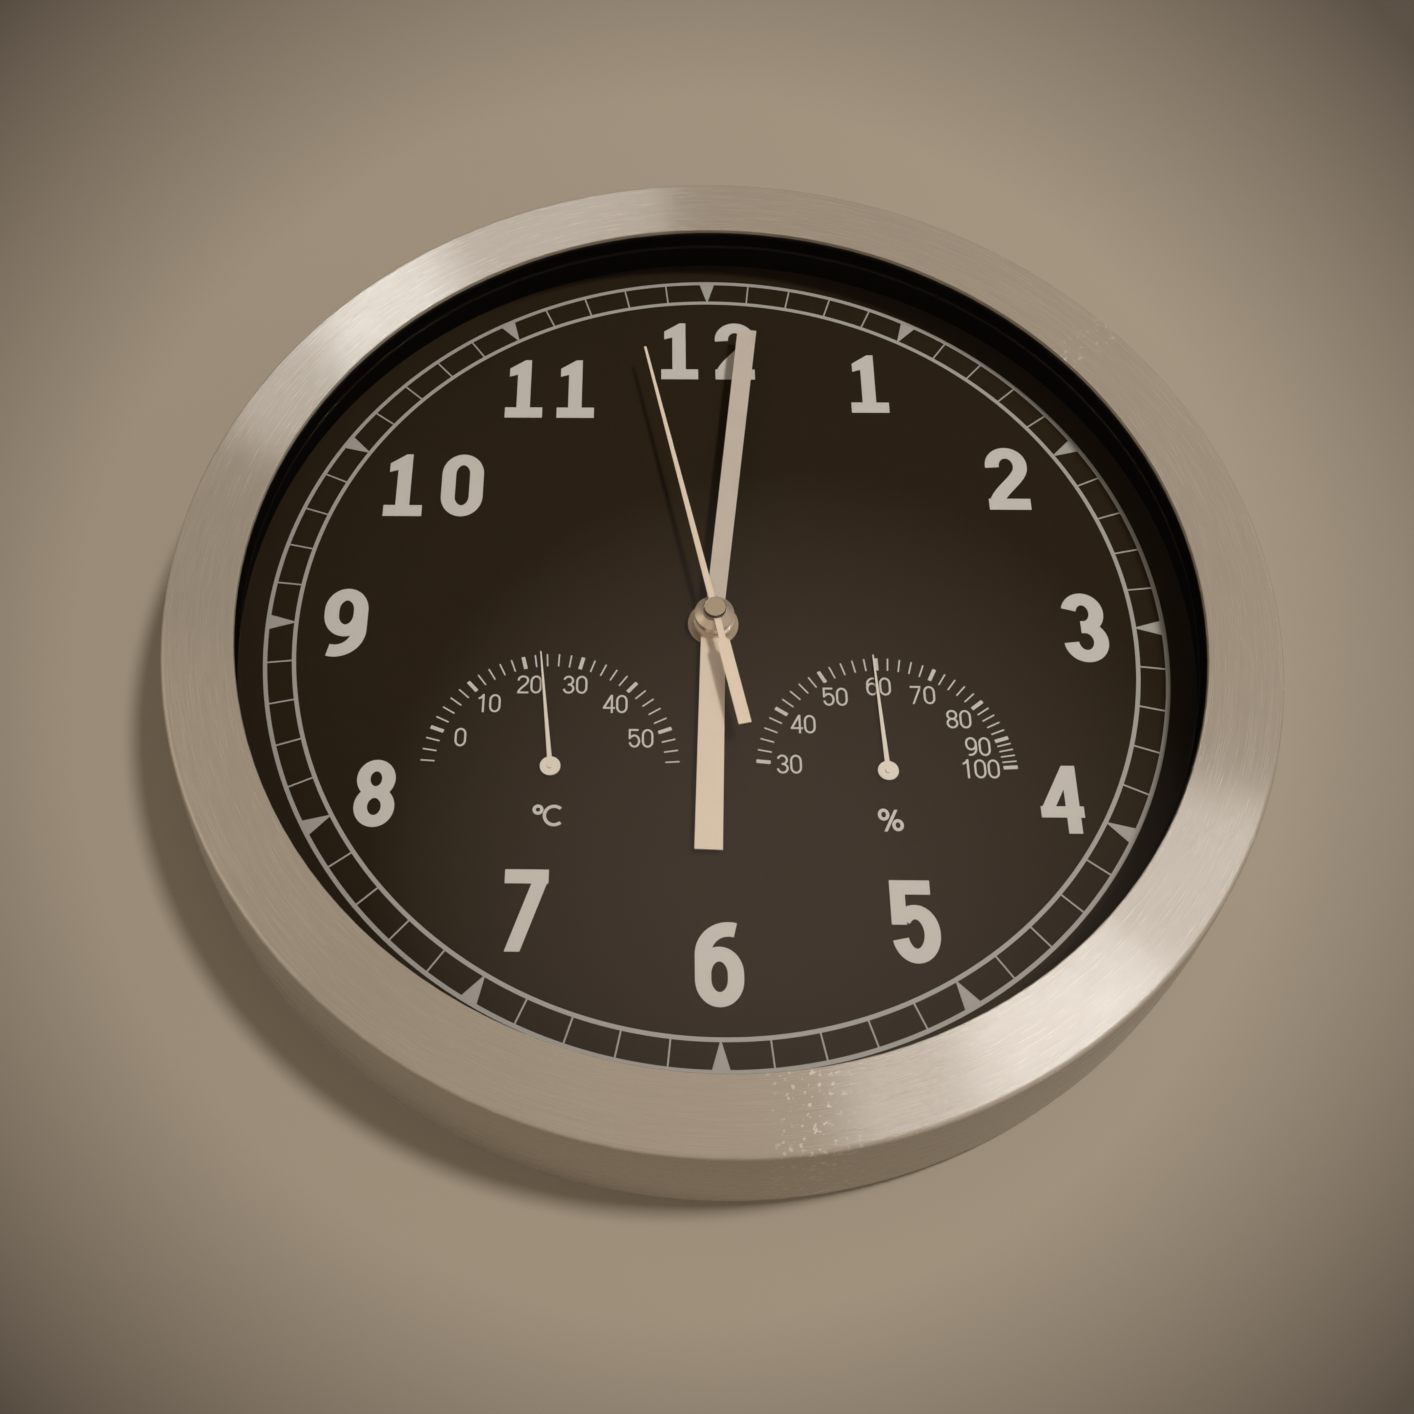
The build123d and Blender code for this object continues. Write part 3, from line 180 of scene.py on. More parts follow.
NUMERAL_HEIGHT = 21.6
NUMERAL_PEN = (4.0, 3.75)
NUMERAL_PITCH = 16.3
ELEVEN_PITCH = 15.4
LABEL_WIDTH = 3.05
LABEL_HEIGHT = 5.4
LABEL_PEN = (0.54, 0.52)
LABEL_PITCH = 3.5
LABEL_RADIUS = 25.5
LONG_LABEL_RADIUS = 24.3
THERMOMETER_CENTRE = (-43.48, -43.64)
HYGROMETER_CENTRE = (44.66, -44.2)
GAUGE_TICK_INNER = 30.4
GAUGE_TICK_OUTER = 34.1
GAUGE_TICK = 0.38
GAUGE_BOLD_TICK = 1.0
THERMOMETER_FIRST = -6
THERMOMETER_LAST = 56
THERMOMETER_STEP = 2
THERMOMETER_ANGLES = (176.5, 3.7)
HYGROMETER_ANGLES = {30: 174.75, 40: 146.6, 50: 119.0, 60: 91.4, 70: 64.4, 80: 38.5, 90: 18.0, 100: 3.4}
HYGROMETER_STEP = 2
BOLD_EVERY = 10
UNIT_DROP = 13.4
UNIT_HEIGHT = 6.0
UNIT_PEN = (0.85, 0.85)
DEGREE_RADIUS = 1.0
DEGREE_PLACE = (-2.6, -1.4)
LETTER_SHIFT = 1.6
LETTER_HALF_WIDTH = 2.5
LETTER_OPENING = (48, 312)
PERCENT_LOOP = (1.05, 0.42)
PERCENT_SHIFT = 1.75
PERCENT_LEAN = 1.45
PERCENT_LOWER = 0.1

DIAL_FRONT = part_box("dial_plate")[0].y


def select_only(*objects):
    """Makes these objects the selected ones, the first of them active."""
    bpy.ops.object.select_all(action="DESELECT")
    for chosen in objects:
        chosen.select_set(True)
    bpy.context.view_layer.objects.active = objects[0]


# Strokes and outlines of the print

def arc(centre, radii, start, end):
    """Points along an oval arc, with angles in degrees from +X towards +Z."""
    steps = max(2, round(abs(end - start) / ARC_STEP))
    turns = [math.radians(start + (end - start) * number / steps) for number in range(steps + 1)]
    return [(centre[0] + radii[0] * math.cos(turn), centre[1] + radii[1] * math.sin(turn)) for turn in turns]


def circle(radius):
    """A full circle about the origin, without its repeated last point."""
    return arc((0, 0), (radius, radius), 0, 360)[:-1]


def bend(start, start_handle, end_handle, end):
    """Points along one curved span between two places."""
    knots = [Vector(point) for point in (start, start_handle, end_handle, end)]
    return [tuple(point[:2]) for point in interpolate_bezier(*knots, BEND_POINTS)]


def oval(centre, half_width, low, high):
    """A closed upright loop with straight sides and round ends."""
    cap = min(OVAL_CAP * half_width, (high - low) / 2)
    top = arc((centre, high - cap), (half_width, cap), 0, 180)
    bottom = arc((centre, low + cap), (half_width, cap), 180, 360)
    if cap * 2 >= high - low:
        bottom = bottom[1:-1]
    return top + bottom


def bar(left, low, right, high):
    """A rectangle."""
    return [[(left, low), (right, low), (right, high), (left, high)]]


def slant(start, end, width):
    """A straight stroke whose ends are cut level."""
    half = width / 2
    foot = [(start[0] - half, start[1]), (start[0] + half, start[1])]
    head = [(end[0] + half, end[1]), (end[0] - half, end[1])]
    return [foot + head]


def stroke(path, pen, closed=False):
    """The outlines of a stroke drawn with an oval pen: one round an open path, two along a loop."""
    last = len(path) - 1
    left = []
    right = []
    for number, (x, z) in enumerate(path):
        before = path[number - 1] if closed or number > 0 else path[0]
        after = path[(number + 1) % (last + 1)] if closed or number < last else path[last]
        along = Vector((after[0] - before[0], after[1] - before[1])).normalized()
        left.append((x - along.y * pen[0] / 2, z + along.x * pen[1] / 2))
        right.append((x + along.y * pen[0] / 2, z - along.x * pen[1] / 2))
    if closed:
        return [left, right]
    return [left + right[::-1]]


def digit_strokes(digit, width, height, pen, slab):
    """The overlapping strokes of one digit, each a list of outlines, from its lower left corner.

    Bare numbers are shares of the digit's width and height, or angles along its arcs.
    """
    left = pen[0] / 2
    right = width - left
    low = pen[1] / 2
    high = height - low
    centre = width / 2
    reach = right - centre
    if digit == "0":
        return [stroke(oval(centre, reach, low, high), pen, True)]
    if digit == "1" and slab:
        stem = 0.28 * width
        flag = [(stem, 0.745 * height), (0.077 * width, 0.71 * height), (0.077 * width, 0.85 * height),
                (0.46 * width, height), (stem + pen[0], height), (stem + pen[0], low), (stem, low)]
        return [[flag], bar(0, 0, 0.92 * width, pen[1])]
    if digit == "1":
        stem = 0.62 * width
        flag = bend((stem - 0.42 * width, 0.76 * height), (stem - 0.2 * width, 0.8 * height),
                    (stem, 0.9 * height), (stem, height))
        return [bar(stem - left, 0, stem + left, height), stroke(flag, pen)]
    if digit == "2":
        bowl = 0.205 * height
        top = arc((centre, high - bowl), (reach, bowl), 188, -5)
        sweep = bend(top[-1], (right + 0.02 * width, 0.49 * height), (left, 0.285 * height), (left, low / 2))
        return [stroke(top + sweep[1:], pen), bar(0, 0, 0.98 * width, pen[1])]
    if digit == "3":
        waist = 0.505 * height
        upper = (high - waist) / 2
        lower = (waist - low) / 2
        top = arc((centre - 0.01 * width, high - upper), (0.93 * reach, upper), 166, -92)
        bottom = arc((centre, low + lower), (reach, lower), 92, -176)
        return [stroke(top + [(0.42 * width, waist)], pen), stroke([(0.42 * width, waist)] + bottom, pen)]
    if digit == "4":
        cross = 0.232 * height
        stem = 0.775 * width
        foot = (0.47 * pen[0], cross + 0.6 * pen[1])
        return [bar(stem - left, 0, stem + left, height), bar(0, cross, 1.04 * width, cross + 0.95 * pen[1]),
                slant(foot, (stem, height), 0.97 * pen[0] if slab else 1.15 * pen[0])]
    if digit == "5":
        bowl_top = 0.70 * height - low
        bowl = (bowl_top - low) / 2
        edge = 0.012 * width
        hook = arc((centre, low + bowl), (reach, bowl), 140, -166)
        return [bar(edge, height - pen[1], 0.85 * width, height),
                bar(edge, 0.46 * height, edge + 0.94 * pen[0], height), stroke(hook, pen)]
    if digit in "69":
        loop = oval(centre, reach, low, 0.705 * height - low)
        arm_height = 0.61 * height
        sweep = 0.53 * width
        arm = [(left, 0.35 * height)] + arc((left + sweep, arm_height), (sweep, high - arm_height), 180, 74)
        shapes = [stroke(loop, pen, True), stroke(arm, pen)]
        if digit == "6":
            return shapes
        return [[[(width - x, height - z) for x, z in line] for line in shape] for shape in shapes]
    if digit == "7":
        return [bar(0, height - pen[1], 0.92 * width, height),
                slant((0.21 * width, 0), (0.92 * width - 0.49 * pen[0], 0.88 * height), 0.97 * pen[0])]
    waist = 0.515 * height
    return [stroke(oval(centre, reach, low, waist), pen, True),
            stroke(oval(centre, 0.93 * reach, waist, high), pen, True)]


# Pieces of the print

def flat_sheet(name, outlines):
    """A thin sheet filled between its outlines, in millimetres, standing on the plane of its outlines."""
    curve = bpy.data.curves.new(name, "CURVE")
    curve.dimensions = "2D"
    curve.fill_mode = "BOTH"
    curve.extrude = PRINT_THICKNESS / 2
    for outline in outlines:
        spline = curve.splines.new("POLY")
        spline.points.add(len(outline) - 1)
        for point, (x, z) in zip(spline.points, outline):
            point.co = (x, z, PRINT_THICKNESS / 2, 1)
        spline.use_cyclic_u = True
    sheet = bpy.data.objects.new(name, curve)
    bpy.context.scene.collection.objects.link(sheet)
    select_only(sheet)
    bpy.ops.object.convert(target="MESH")
    sheet = bpy.context.object
    bpy.ops.object.mode_set(mode="EDIT")
    bpy.ops.mesh.select_all(action="SELECT")
    bpy.ops.mesh.remove_doubles(threshold=MERGE_DISTANCE)
    bpy.ops.mesh.normals_make_consistent(inside=False)
    bpy.ops.object.mode_set(mode="OBJECT")
    return sheet


def fused(sheets):
    """One sheet from several that overlap."""
    first = sheets[0]
    for other in sheets[1:]:
        union = first.modifiers.new("union", "BOOLEAN")
        union.operation = "UNION"
        union.solver = "EXACT"
        union.object = other
        select_only(first)
        bpy.ops.object.modifier_apply(modifier=union.name)
        bpy.data.objects.remove(other)
    return first


def digit_sheets(characters, width, height, pen, slab):
    """One sheet per digit, to be copied into place."""
    sheets = {}
    for digit in characters:
        strokes = digit_strokes(digit, width, height, pen, slab)
        sheets[digit] = fused([flat_sheet("digit_" + digit, outlines) for outlines in strokes])
    return sheets


def put(sheet, x, z, scale=1.0):
    """Moves a sheet to its place on the dial, its place in its mesh, in metres."""
    sheet.rotation_euler = (math.pi / 2, 0, 0)
    sheet.location = (x * MM, DIAL_FRONT, z * MM)
    sheet.scale = (MM * scale, MM * scale, MM)
    select_only(sheet)
    bpy.ops.object.transform_apply(location=True, rotation=True, scale=True)
    return sheet


def number_pieces(text, sheets, place, width, height, pitch, scale=1.0):
    """Copies of the digits of one number, centred on a place."""
    pieces = []
    for number, digit in enumerate(text):
        piece = sheets[digit].copy()
        piece.data = sheets[digit].data.copy()
        bpy.context.scene.collection.objects.link(piece)
        shift = (number - (len(text) - 1) / 2) * pitch - width / 2
        pieces.append(put(piece, place[0] + shift * scale, place[1] - height / 2 * scale, scale))
    return pieces


def printed(name, pieces, ink):
    """Joins pieces of print in one ink into one named piece that belongs to the case."""
    select_only(*pieces)
    bpy.ops.object.join()
    whole = bpy.context.object
    whole.name = name
    whole.data.name = name
    whole.data.materials.clear()
    whole.data.materials.append(ink)
    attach(whole, "case")
    return whole


def polar(radius, angle):
    """A place on the dial, with the angle in degrees from +X towards +Z."""
    return (radius * math.cos(math.radians(angle)), radius * math.sin(math.radians(angle)))


def clock_place(radius, hour):
    """A place on the dial at an hour."""
    return polar(radius, 90 - 30 * hour)


def track_window(minute):
    """The bare cell between two minute lines of the track."""
    inner = TRACK_INNER + TRACK_LINE / 2
    outer = TRACK_OUTER - TRACK_LINE / 2

    def half_width(mark, radius):
        if mark % MINUTES_PER_HOUR_MARK:
            return TRACK_TICK / 2
        share = (radius - inner) / (outer - inner)
        return (TRACK_TICK + (TRACK_WEDGE - TRACK_TICK) * share) / 2

    def edge(mark, radius, side):
        return 90 - mark * 360 / MINUTES + side * math.degrees(half_width(mark, radius) / radius)

    near = [edge(minute, inner, -1), edge(minute + 1, inner, 1)]
    far = [edge(minute, outer, -1), edge(minute + 1, outer, 1)]
    shares = [number / TRACK_STEPS for number in range(TRACK_STEPS + 1)]
    inside = [polar(inner, near[0] + (near[1] - near[0]) * share) for share in shares]
    outside = [polar(outer, far[0] + (far[1] - far[0]) * share) for share in shares]
    return inside + outside[::-1]


def circle_line(radius):
    """A circle with as many points as the windows of the track have."""
    count = MINUTES * TRACK_STEPS
    return [polar(radius, number * 360 / count) for number in range(count)]


def minute_track(ink):
    """The ring of minutes: one sheet with a window between every two minute lines."""
    outlines = [circle_line(TRACK_OUTER + TRACK_LINE / 2), circle_line(TRACK_INNER - TRACK_LINE / 2)]
    outlines += [track_window(minute) for minute in range(MINUTES)]
    return printed("minute_track", [put(flat_sheet("minute_track", outlines), 0, 0)], ink)


def hour_numerals(ink):
    """The twelve hours, upright, in heavy narrow digits."""
    sheets = digit_sheets("0123456789", NUMERAL_WIDTH, NUMERAL_HEIGHT, NUMERAL_PEN, True)
    pieces = []
    for hour, radius in NUMERAL_RADII.items():
        pitch = ELEVEN_PITCH if hour == 11 else NUMERAL_PITCH
        scale = SMALLER_SCALE if hour in SMALLER_NUMERALS else 1.0
        place = clock_place(radius, hour)
        pieces += number_pieces(str(hour), sheets, place, NUMERAL_WIDTH, NUMERAL_HEIGHT, pitch, scale)
    for sheet in sheets.values():
        bpy.data.objects.remove(sheet)
    return printed("hour_numerals", pieces, ink)


def tick_outline(angle, width):
    """One radial line of a gauge."""
    inner = polar(GAUGE_TICK_INNER, angle)
    outer = polar(GAUGE_TICK_OUTER, angle)
    return stroke([inner, outer], (width, width))[0]


def gauge_scale(name, marks, labels, place, ink):
    """The lines and numbers of one gauge; marks give angle and weight, labels give number and angle."""
    outlines = [tick_outline(angle, width) for angle, width in marks]
    pieces = [put(flat_sheet(name, outlines), *place)]
    sheets = digit_sheets(sorted(set("".join(text for text, angle in labels))),
                          LABEL_WIDTH, LABEL_HEIGHT, LABEL_PEN, False)
    for text, angle in labels:
        offset = polar(LABEL_RADIUS if len(text) < 3 else LONG_LABEL_RADIUS, angle)
        spot = (place[0] + offset[0], place[1] + offset[1])
        pieces += number_pieces(text, sheets, spot, LABEL_WIDTH, LABEL_HEIGHT, LABEL_PITCH)
    for sheet in sheets.values():
        bpy.data.objects.remove(sheet)
    return printed(name, pieces, ink)


def thermometer_scale(ink):
    """The thermometer's even scale."""
    first, last = THERMOMETER_ANGLES
    span = THERMOMETER_LAST - THERMOMETER_FIRST
    marks = []
    labels = []
    for value in range(THERMOMETER_FIRST, THERMOMETER_LAST + 1, THERMOMETER_STEP):
        angle = first + (last - first) * (value - THERMOMETER_FIRST) / span
        bold = value % BOLD_EVERY == 0
        marks.append((angle, GAUGE_BOLD_TICK if bold else GAUGE_TICK))
        if bold:
            labels.append((str(value), angle))
    return gauge_scale("thermometer_scale", marks, labels, THERMOMETER_CENTRE, ink)


def hygrometer_scale(ink):
    """The hygrometer's scale, which closes up towards its damp end."""
    values = sorted(HYGROMETER_ANGLES)
    marks = [(HYGROMETER_ANGLES[value], GAUGE_BOLD_TICK) for value in values]
    minor = BOLD_EVERY // HYGROMETER_STEP
    for low, high in zip(values, values[1:]):
        start = HYGROMETER_ANGLES[low]
        step = (HYGROMETER_ANGLES[high] - start) / minor
        marks += [(start + step * number, GAUGE_TICK) for number in range(1, minor)]
    labels = [(str(value), HYGROMETER_ANGLES[value]) for value in values]
    return gauge_scale("hygrometer_scale", marks, labels, HYGROMETER_CENTRE, ink)


def unit_marks(ink):
    """A degree and C under the thermometer, a percent sign under the hygrometer."""
    half = UNIT_HEIGHT / 2
    degree = stroke(circle(DEGREE_RADIUS), UNIT_PEN, True)
    degree = [[(x + DEGREE_PLACE[0], z + half + DEGREE_PLACE[1]) for x, z in line] for line in degree]
    bow = arc((LETTER_SHIFT, 0), (LETTER_HALF_WIDTH, half - UNIT_PEN[1] / 2), *LETTER_OPENING)
    letter = stroke(bow, UNIT_PEN)
    x, z = THERMOMETER_CENTRE
    pieces = [put(flat_sheet("unit", degree + letter), x, z - UNIT_DROP)]
    drop = half - PERCENT_LOWER
    small = oval(0, *PERCENT_LOOP, drop)
    upper = stroke([(px - PERCENT_SHIFT, pz) for px, pz in small], UNIT_PEN, True)
    lower = stroke([(px + PERCENT_SHIFT, pz - drop) for px, pz in small], UNIT_PEN, True)
    slash = slant((-PERCENT_LEAN, -half), (PERCENT_LEAN, half), UNIT_PEN[0])
    x, z = HYGROMETER_CENTRE
    pieces += [put(flat_sheet("unit", upper + lower + slash), x, z - UNIT_DROP)]
    return printed("unit_marks", pieces, ink)


# Materials

def shader(name):
    """A new node material: its tree and its surface shader."""
    material = bpy.data.materials.new(name)
    material.use_nodes = True
    tree = material.node_tree
    return material, tree, tree.nodes["Principled BSDF"]


def add(tree, kind, **settings):
    """A node with settings; names that are inputs are set on the input."""
    node = tree.nodes.new(kind)
    for key, value in settings.items():
        if key in node.inputs:
            node.inputs[key].default_value = value
        else:
            setattr(node, key, value)
    return node


def math_node(tree, operation, *values):
    """A math node fed by sockets or numbers."""
    node = add(tree, "ShaderNodeMath", operation=operation)
    for socket, value in zip(node.inputs, values):
        if isinstance(value, (int, float)):
            socket.default_value = value
        else:
            tree.links.new(value, socket)
    return node.outputs[0]


def mixed(tree, first, second, share):
    """Two patterns added, the first by its share and the second by the rest."""
    rest = math_node(tree, "MULTIPLY", second, 1 - share)
    return math_node(tree, "MULTIPLY_ADD", first, share, rest)


def share_along(tree, vector, direction):
    """How far a vector points along a fixed direction."""
    node = add(tree, "ShaderNodeVectorMath", operation="DOT_PRODUCT")
    node.inputs[1].default_value = direction
    tree.links.new(vector, node.inputs[0])
    return node.outputs["Value"]


def parts_of(tree, vector):
    """The three parts of a vector."""
    node = add(tree, "ShaderNodeSeparateXYZ")
    tree.links.new(vector, node.inputs[0])
    return node.outputs


def object_place(tree):
    """The place on the piece, in metres."""
    return add(tree, "ShaderNodeTexCoord").outputs["Object"]


def noise(tree, place, scale, detail=2.0, roughness=0.5):
    """A noise pattern from 0 to 1."""
    node = add(tree, "ShaderNodeTexNoise", Scale=scale, Detail=detail, Roughness=roughness)
    tree.links.new(place, node.inputs["Vector"])
    return node.outputs["Fac"]


def ranged(tree, value, low, high, from_low=0.0, from_high=1.0):
    """A value carried from one range to another."""
    node = add(tree, "ShaderNodeMapRange")
    node.inputs["From Min"].default_value = from_low
    node.inputs["From Max"].default_value = from_high
    node.inputs["To Min"].default_value = low
    node.inputs["To Max"].default_value = high
    tree.links.new(value, node.inputs["Value"])
    return node.outputs["Result"]


def two_tone(tree, factor, first, second):
    """A colour between two, by a factor; each of the two is fixed or comes from a socket."""
    node = add(tree, "ShaderNodeMix", data_type="RGBA")
    tree.links.new(factor, node.inputs["Factor"])
    sockets = [socket for socket in node.inputs if socket.type == "RGBA"]
    for socket, colour in zip(sockets, (first, second)):
        if isinstance(colour, tuple):
            socket.default_value = (*colour, 1)
        else:
            tree.links.new(colour, socket)
    return [socket for socket in node.outputs if socket.type == "RGBA"][0]


def show_mix(tree, share, first, second):
    """Shows two shaders at once, the second by a share."""
    mix = add(tree, "ShaderNodeMixShader")
    tree.links.new(share, mix.inputs[0])
    tree.links.new(first.outputs[0], mix.inputs[1])
    tree.links.new(second.outputs[0], mix.inputs[2])
    tree.links.new(mix.outputs[0], tree.nodes["Material Output"].inputs["Surface"])


def bumped(tree, surface, height, strength, distance):
    """Gives a surface a bump from a height pattern."""
    node = add(tree, "ShaderNodeBump", Strength=strength, Distance=distance)
    tree.links.new(height, node.inputs["Height"])
    tree.links.new(node.outputs["Normal"], surface.inputs["Normal"])


def grained(name, dark, light, rough, grain, bump, metallic=0.0, specular=0.5):
    """A finish with a fine grain: two close tones, uneven gloss and a slight bump."""
    material, tree, surface = shader(name)
    place = object_place(tree)
    fine = noise(tree, place, grain, 3.0, 0.6)
    broad = noise(tree, place, grain / GRAIN_BROADER, 2.0)
    tone = mixed(tree, fine, broad, GRAIN_FINE_SHARE)
    tree.links.new(two_tone(tree, tone, dark, light), surface.inputs["Base Color"])
    tree.links.new(ranged(tree, broad, *rough, *PATTERN_SPAN), surface.inputs["Roughness"])
    surface.inputs["Metallic"].default_value = metallic
    surface.inputs["Specular IOR Level"].default_value = specular
    bumped(tree, surface, fine, bump, GRAIN_HEIGHT)
    return material


def silver_ink():
    """Silver ink with a fine sparkle, for the numbers."""
    return grained("silver_ink", (0.69, 0.70, 0.72), (0.77, 0.78, 0.80), (0.42, 0.55), 5200.0, 0.10, 0.1)


def track_ink():
    """Duller silver ink of the minute track."""
    return grained("track_ink", (0.475, 0.485, 0.495), (0.55, 0.56, 0.57), (0.45, 0.58), 5200.0, 0.10, 0.1)


def from_axis(tree, place):
    """The direction away from the clock's axis, and the distance from it."""
    flat = add(tree, "ShaderNodeVectorMath", operation="MULTIPLY")
    flat.inputs[1].default_value = (1, 0, 1)
    tree.links.new(place, flat.inputs[0])
    reach = add(tree, "ShaderNodeVectorMath", operation="LENGTH")
    tree.links.new(flat.outputs["Vector"], reach.inputs[0])
    outward = add(tree, "ShaderNodeVectorMath", operation="NORMALIZE")
    tree.links.new(flat.outputs["Vector"], outward.inputs[0])
    return outward.outputs["Vector"], reach.outputs["Value"]


def sector(tree, outward, degrees, half_width):
    """A mask that is 1 at one angle, clockwise from twelve, and fades to 0 a half width away."""
    turn = math.radians(degrees)
    near = share_along(tree, outward, (math.sin(turn), 0, math.cos(turn)))
    return ranged(tree, near, 0.0, 1.0, math.cos(math.radians(half_width)), 1.0)


def brush(tree, outward, across, closeness):
    """Streaks that run round the axis, by how close they are round it and across."""
    turned = parts_of(tree, outward)
    joined = add(tree, "ShaderNodeCombineXYZ")
    tree.links.new(math_node(tree, "MULTIPLY", turned["X"], closeness[0]), joined.inputs[0])
    tree.links.new(math_node(tree, "MULTIPLY", across, closeness[1]), joined.inputs[1])
    tree.links.new(math_node(tree, "MULTIPLY", turned["Z"], closeness[0]), joined.inputs[2])
    return noise(tree, joined.outputs[0], 1.0, 3.0, 0.65)


def ring_wear(tree, place, outward):
    """A mask of bright specks at the ring's seam and scuff."""
    specks = ranged(tree, noise(tree, place, WEAR_GRAIN, 2.0, 0.6), 0.0, 1.0, *WEAR_EDGE)
    seam = sector(tree, outward, SEAM_ANGLE, SEAM_HALF_WIDTH)
    scuff = sector(tree, outward, SCUFF_ANGLE, SCUFF_HALF_WIDTH)
    worn = math_node(tree, "MULTIPLY", math_node(tree, "MAXIMUM", seam, scuff), specks)
    return math_node(tree, "MULTIPLY", worn, WEAR_SHARE)


def across_lines(tree, outward):
    """The direction on the ring's surface that crosses the brush lines."""
    around = add(tree, "ShaderNodeVectorMath", operation="CROSS_PRODUCT")
    around.inputs[0].default_value = (0, 1, 0)
    tree.links.new(outward, around.inputs[1])
    crossing = add(tree, "ShaderNodeVectorMath", operation="CROSS_PRODUCT")
    tree.links.new(add(tree, "ShaderNodeNewGeometry").outputs["Normal"], crossing.inputs[0])
    tree.links.new(around.outputs["Vector"], crossing.inputs[1])
    return crossing.outputs["Vector"]


def ring_metal():
    """Aluminium brushed round the axis: a satin base, and a bright sweep across the lines."""
    material, tree, surface = shader("ring_metal")
    place = object_place(tree)
    outward, reach = from_axis(tree, place)
    across = math_node(tree, "SUBTRACT", reach, parts_of(tree, place)["Y"])
    fine = brush(tree, outward, across, FINE_BRUSH)
    coarse = brush(tree, outward, across, COARSE_BRUSH)
    lines = mixed(tree, fine, coarse, FINE_BRUSH_SHARE)
    tone = two_tone(tree, ranged(tree, lines, 0.0, 1.0, *PATTERN_SPAN), RING_DARK, RING_LIGHT)
    worn = ring_wear(tree, place, outward)
    tree.links.new(two_tone(tree, worn, tone, WEAR_TINT), surface.inputs["Base Color"])
    gloss = ranged(tree, lines, *RING_ROUGHNESS, *PATTERN_SPAN)
    uneven = ranged(tree, noise(tree, place, RING_MOTTLE, 3.0), -RING_UNEVEN, RING_UNEVEN)
    tree.links.new(math_node(tree, "ADD", gloss, uneven), surface.inputs["Roughness"])
    surface.inputs["Metallic"].default_value = RING_METALLIC
    surface.inputs["Anisotropic"].default_value = 1.0
    tree.links.new(across_lines(tree, outward), surface.inputs["Tangent"])
    bumped(tree, surface, lines, *RING_BUMP)
    return material


def blade_metal(name, metallic):
    """Pale satin metal of a hand's blade."""
    return grained(name, BLADE_DARK, BLADE_LIGHT, (0.40, 0.48), 3000.0, 0.06, metallic)


def hand_metal(name, metallic):
    """A hand's pale satin metal, turned bright at its collar round the axis."""
    material = blade_metal(name, metallic)
    tree = material.node_tree
    surface = tree.nodes["Principled BSDF"]
    outward, reach = from_axis(tree, object_place(tree))
    blade = ranged(tree, reach, 0.0, 1.0, *COLLAR_EDGE)
    tree.links.new(ranged(tree, blade, COLLAR_METALLIC, metallic), surface.inputs["Metallic"])
    satin = surface.inputs["Roughness"].links[0].from_socket
    polish = ranged(tree, blade, -COLLAR_POLISH, 0.0)
    tree.links.new(math_node(tree, "ADD", polish, satin), surface.inputs["Roughness"])
    return material


def cap_metal():
    """Polished steel, its rounded edge and side painted dark as a painted reflection of the dark dial."""
    material, tree, surface = shader("cap_metal")
    place = object_place(tree)
    front = share_along(tree, add(tree, "ShaderNodeNewGeometry").outputs["Normal"], (0, -1, 0))
    flat = ranged(tree, front, 0.0, 1.0, *CAP_REFLECTION_EDGE)
    fine = noise(tree, place, CAP_GRAIN, 2.0, 0.5)
    # Painted reflection: the side and edge get a dark tone, the face keeps its own.
    tree.links.new(two_tone(tree, flat, CAP_SIDE_PAINTED_REFLECTION, CAP_FACE), surface.inputs["Base Color"])
    tree.links.new(ranged(tree, fine, *CAP_ROUGHNESS, *PATTERN_SPAN), surface.inputs["Roughness"])
    surface.inputs["Metallic"].default_value = CAP_METALLIC
    bumped(tree, surface, fine, *CAP_BUMP)
    return material


def lens_glass():
    """Clear flat glass: a faint mirror that grows towards the rim of sight, and a straight view through."""
    material, tree, surface = shader("lens_glass")
    surface.inputs["Base Color"].default_value = (*GLASS_TINT, 1)
    surface.inputs["Metallic"].default_value = 1.0
    surface.inputs["Roughness"].default_value = GLASS_ROUGHNESS
    clear = add(tree, "ShaderNodeBsdfTransparent")
    slope = add(tree, "ShaderNodeLayerWeight", Blend=0.5).outputs["Facing"]
    share = math_node(tree, "MULTIPLY", math_node(tree, "POWER", slope, GLASS_RISE), 1 - GLASS_MIRROR)
    show_mix(tree, math_node(tree, "ADD", share, GLASS_MIRROR), clear, surface)
    return material


def deep_black():
    """The black wall round the dial, darker than its black as painted shade of the recess under the glass.
    """
    return grained("deep_black", (0.0010, 0.0009, 0.0008), (0.0018, 0.0016, 0.0014),
                   (0.36, 0.46), 2600.0, 0.05, 0.0, 0.05)


def pointer_paint():
    """Pale satin paint of the gauge pointers."""
    return grained("pointer_paint", (0.84, 0.81, 0.75), (0.92, 0.89, 0.83), (0.40, 0.50), 3000.0, 0.05, 0.1)


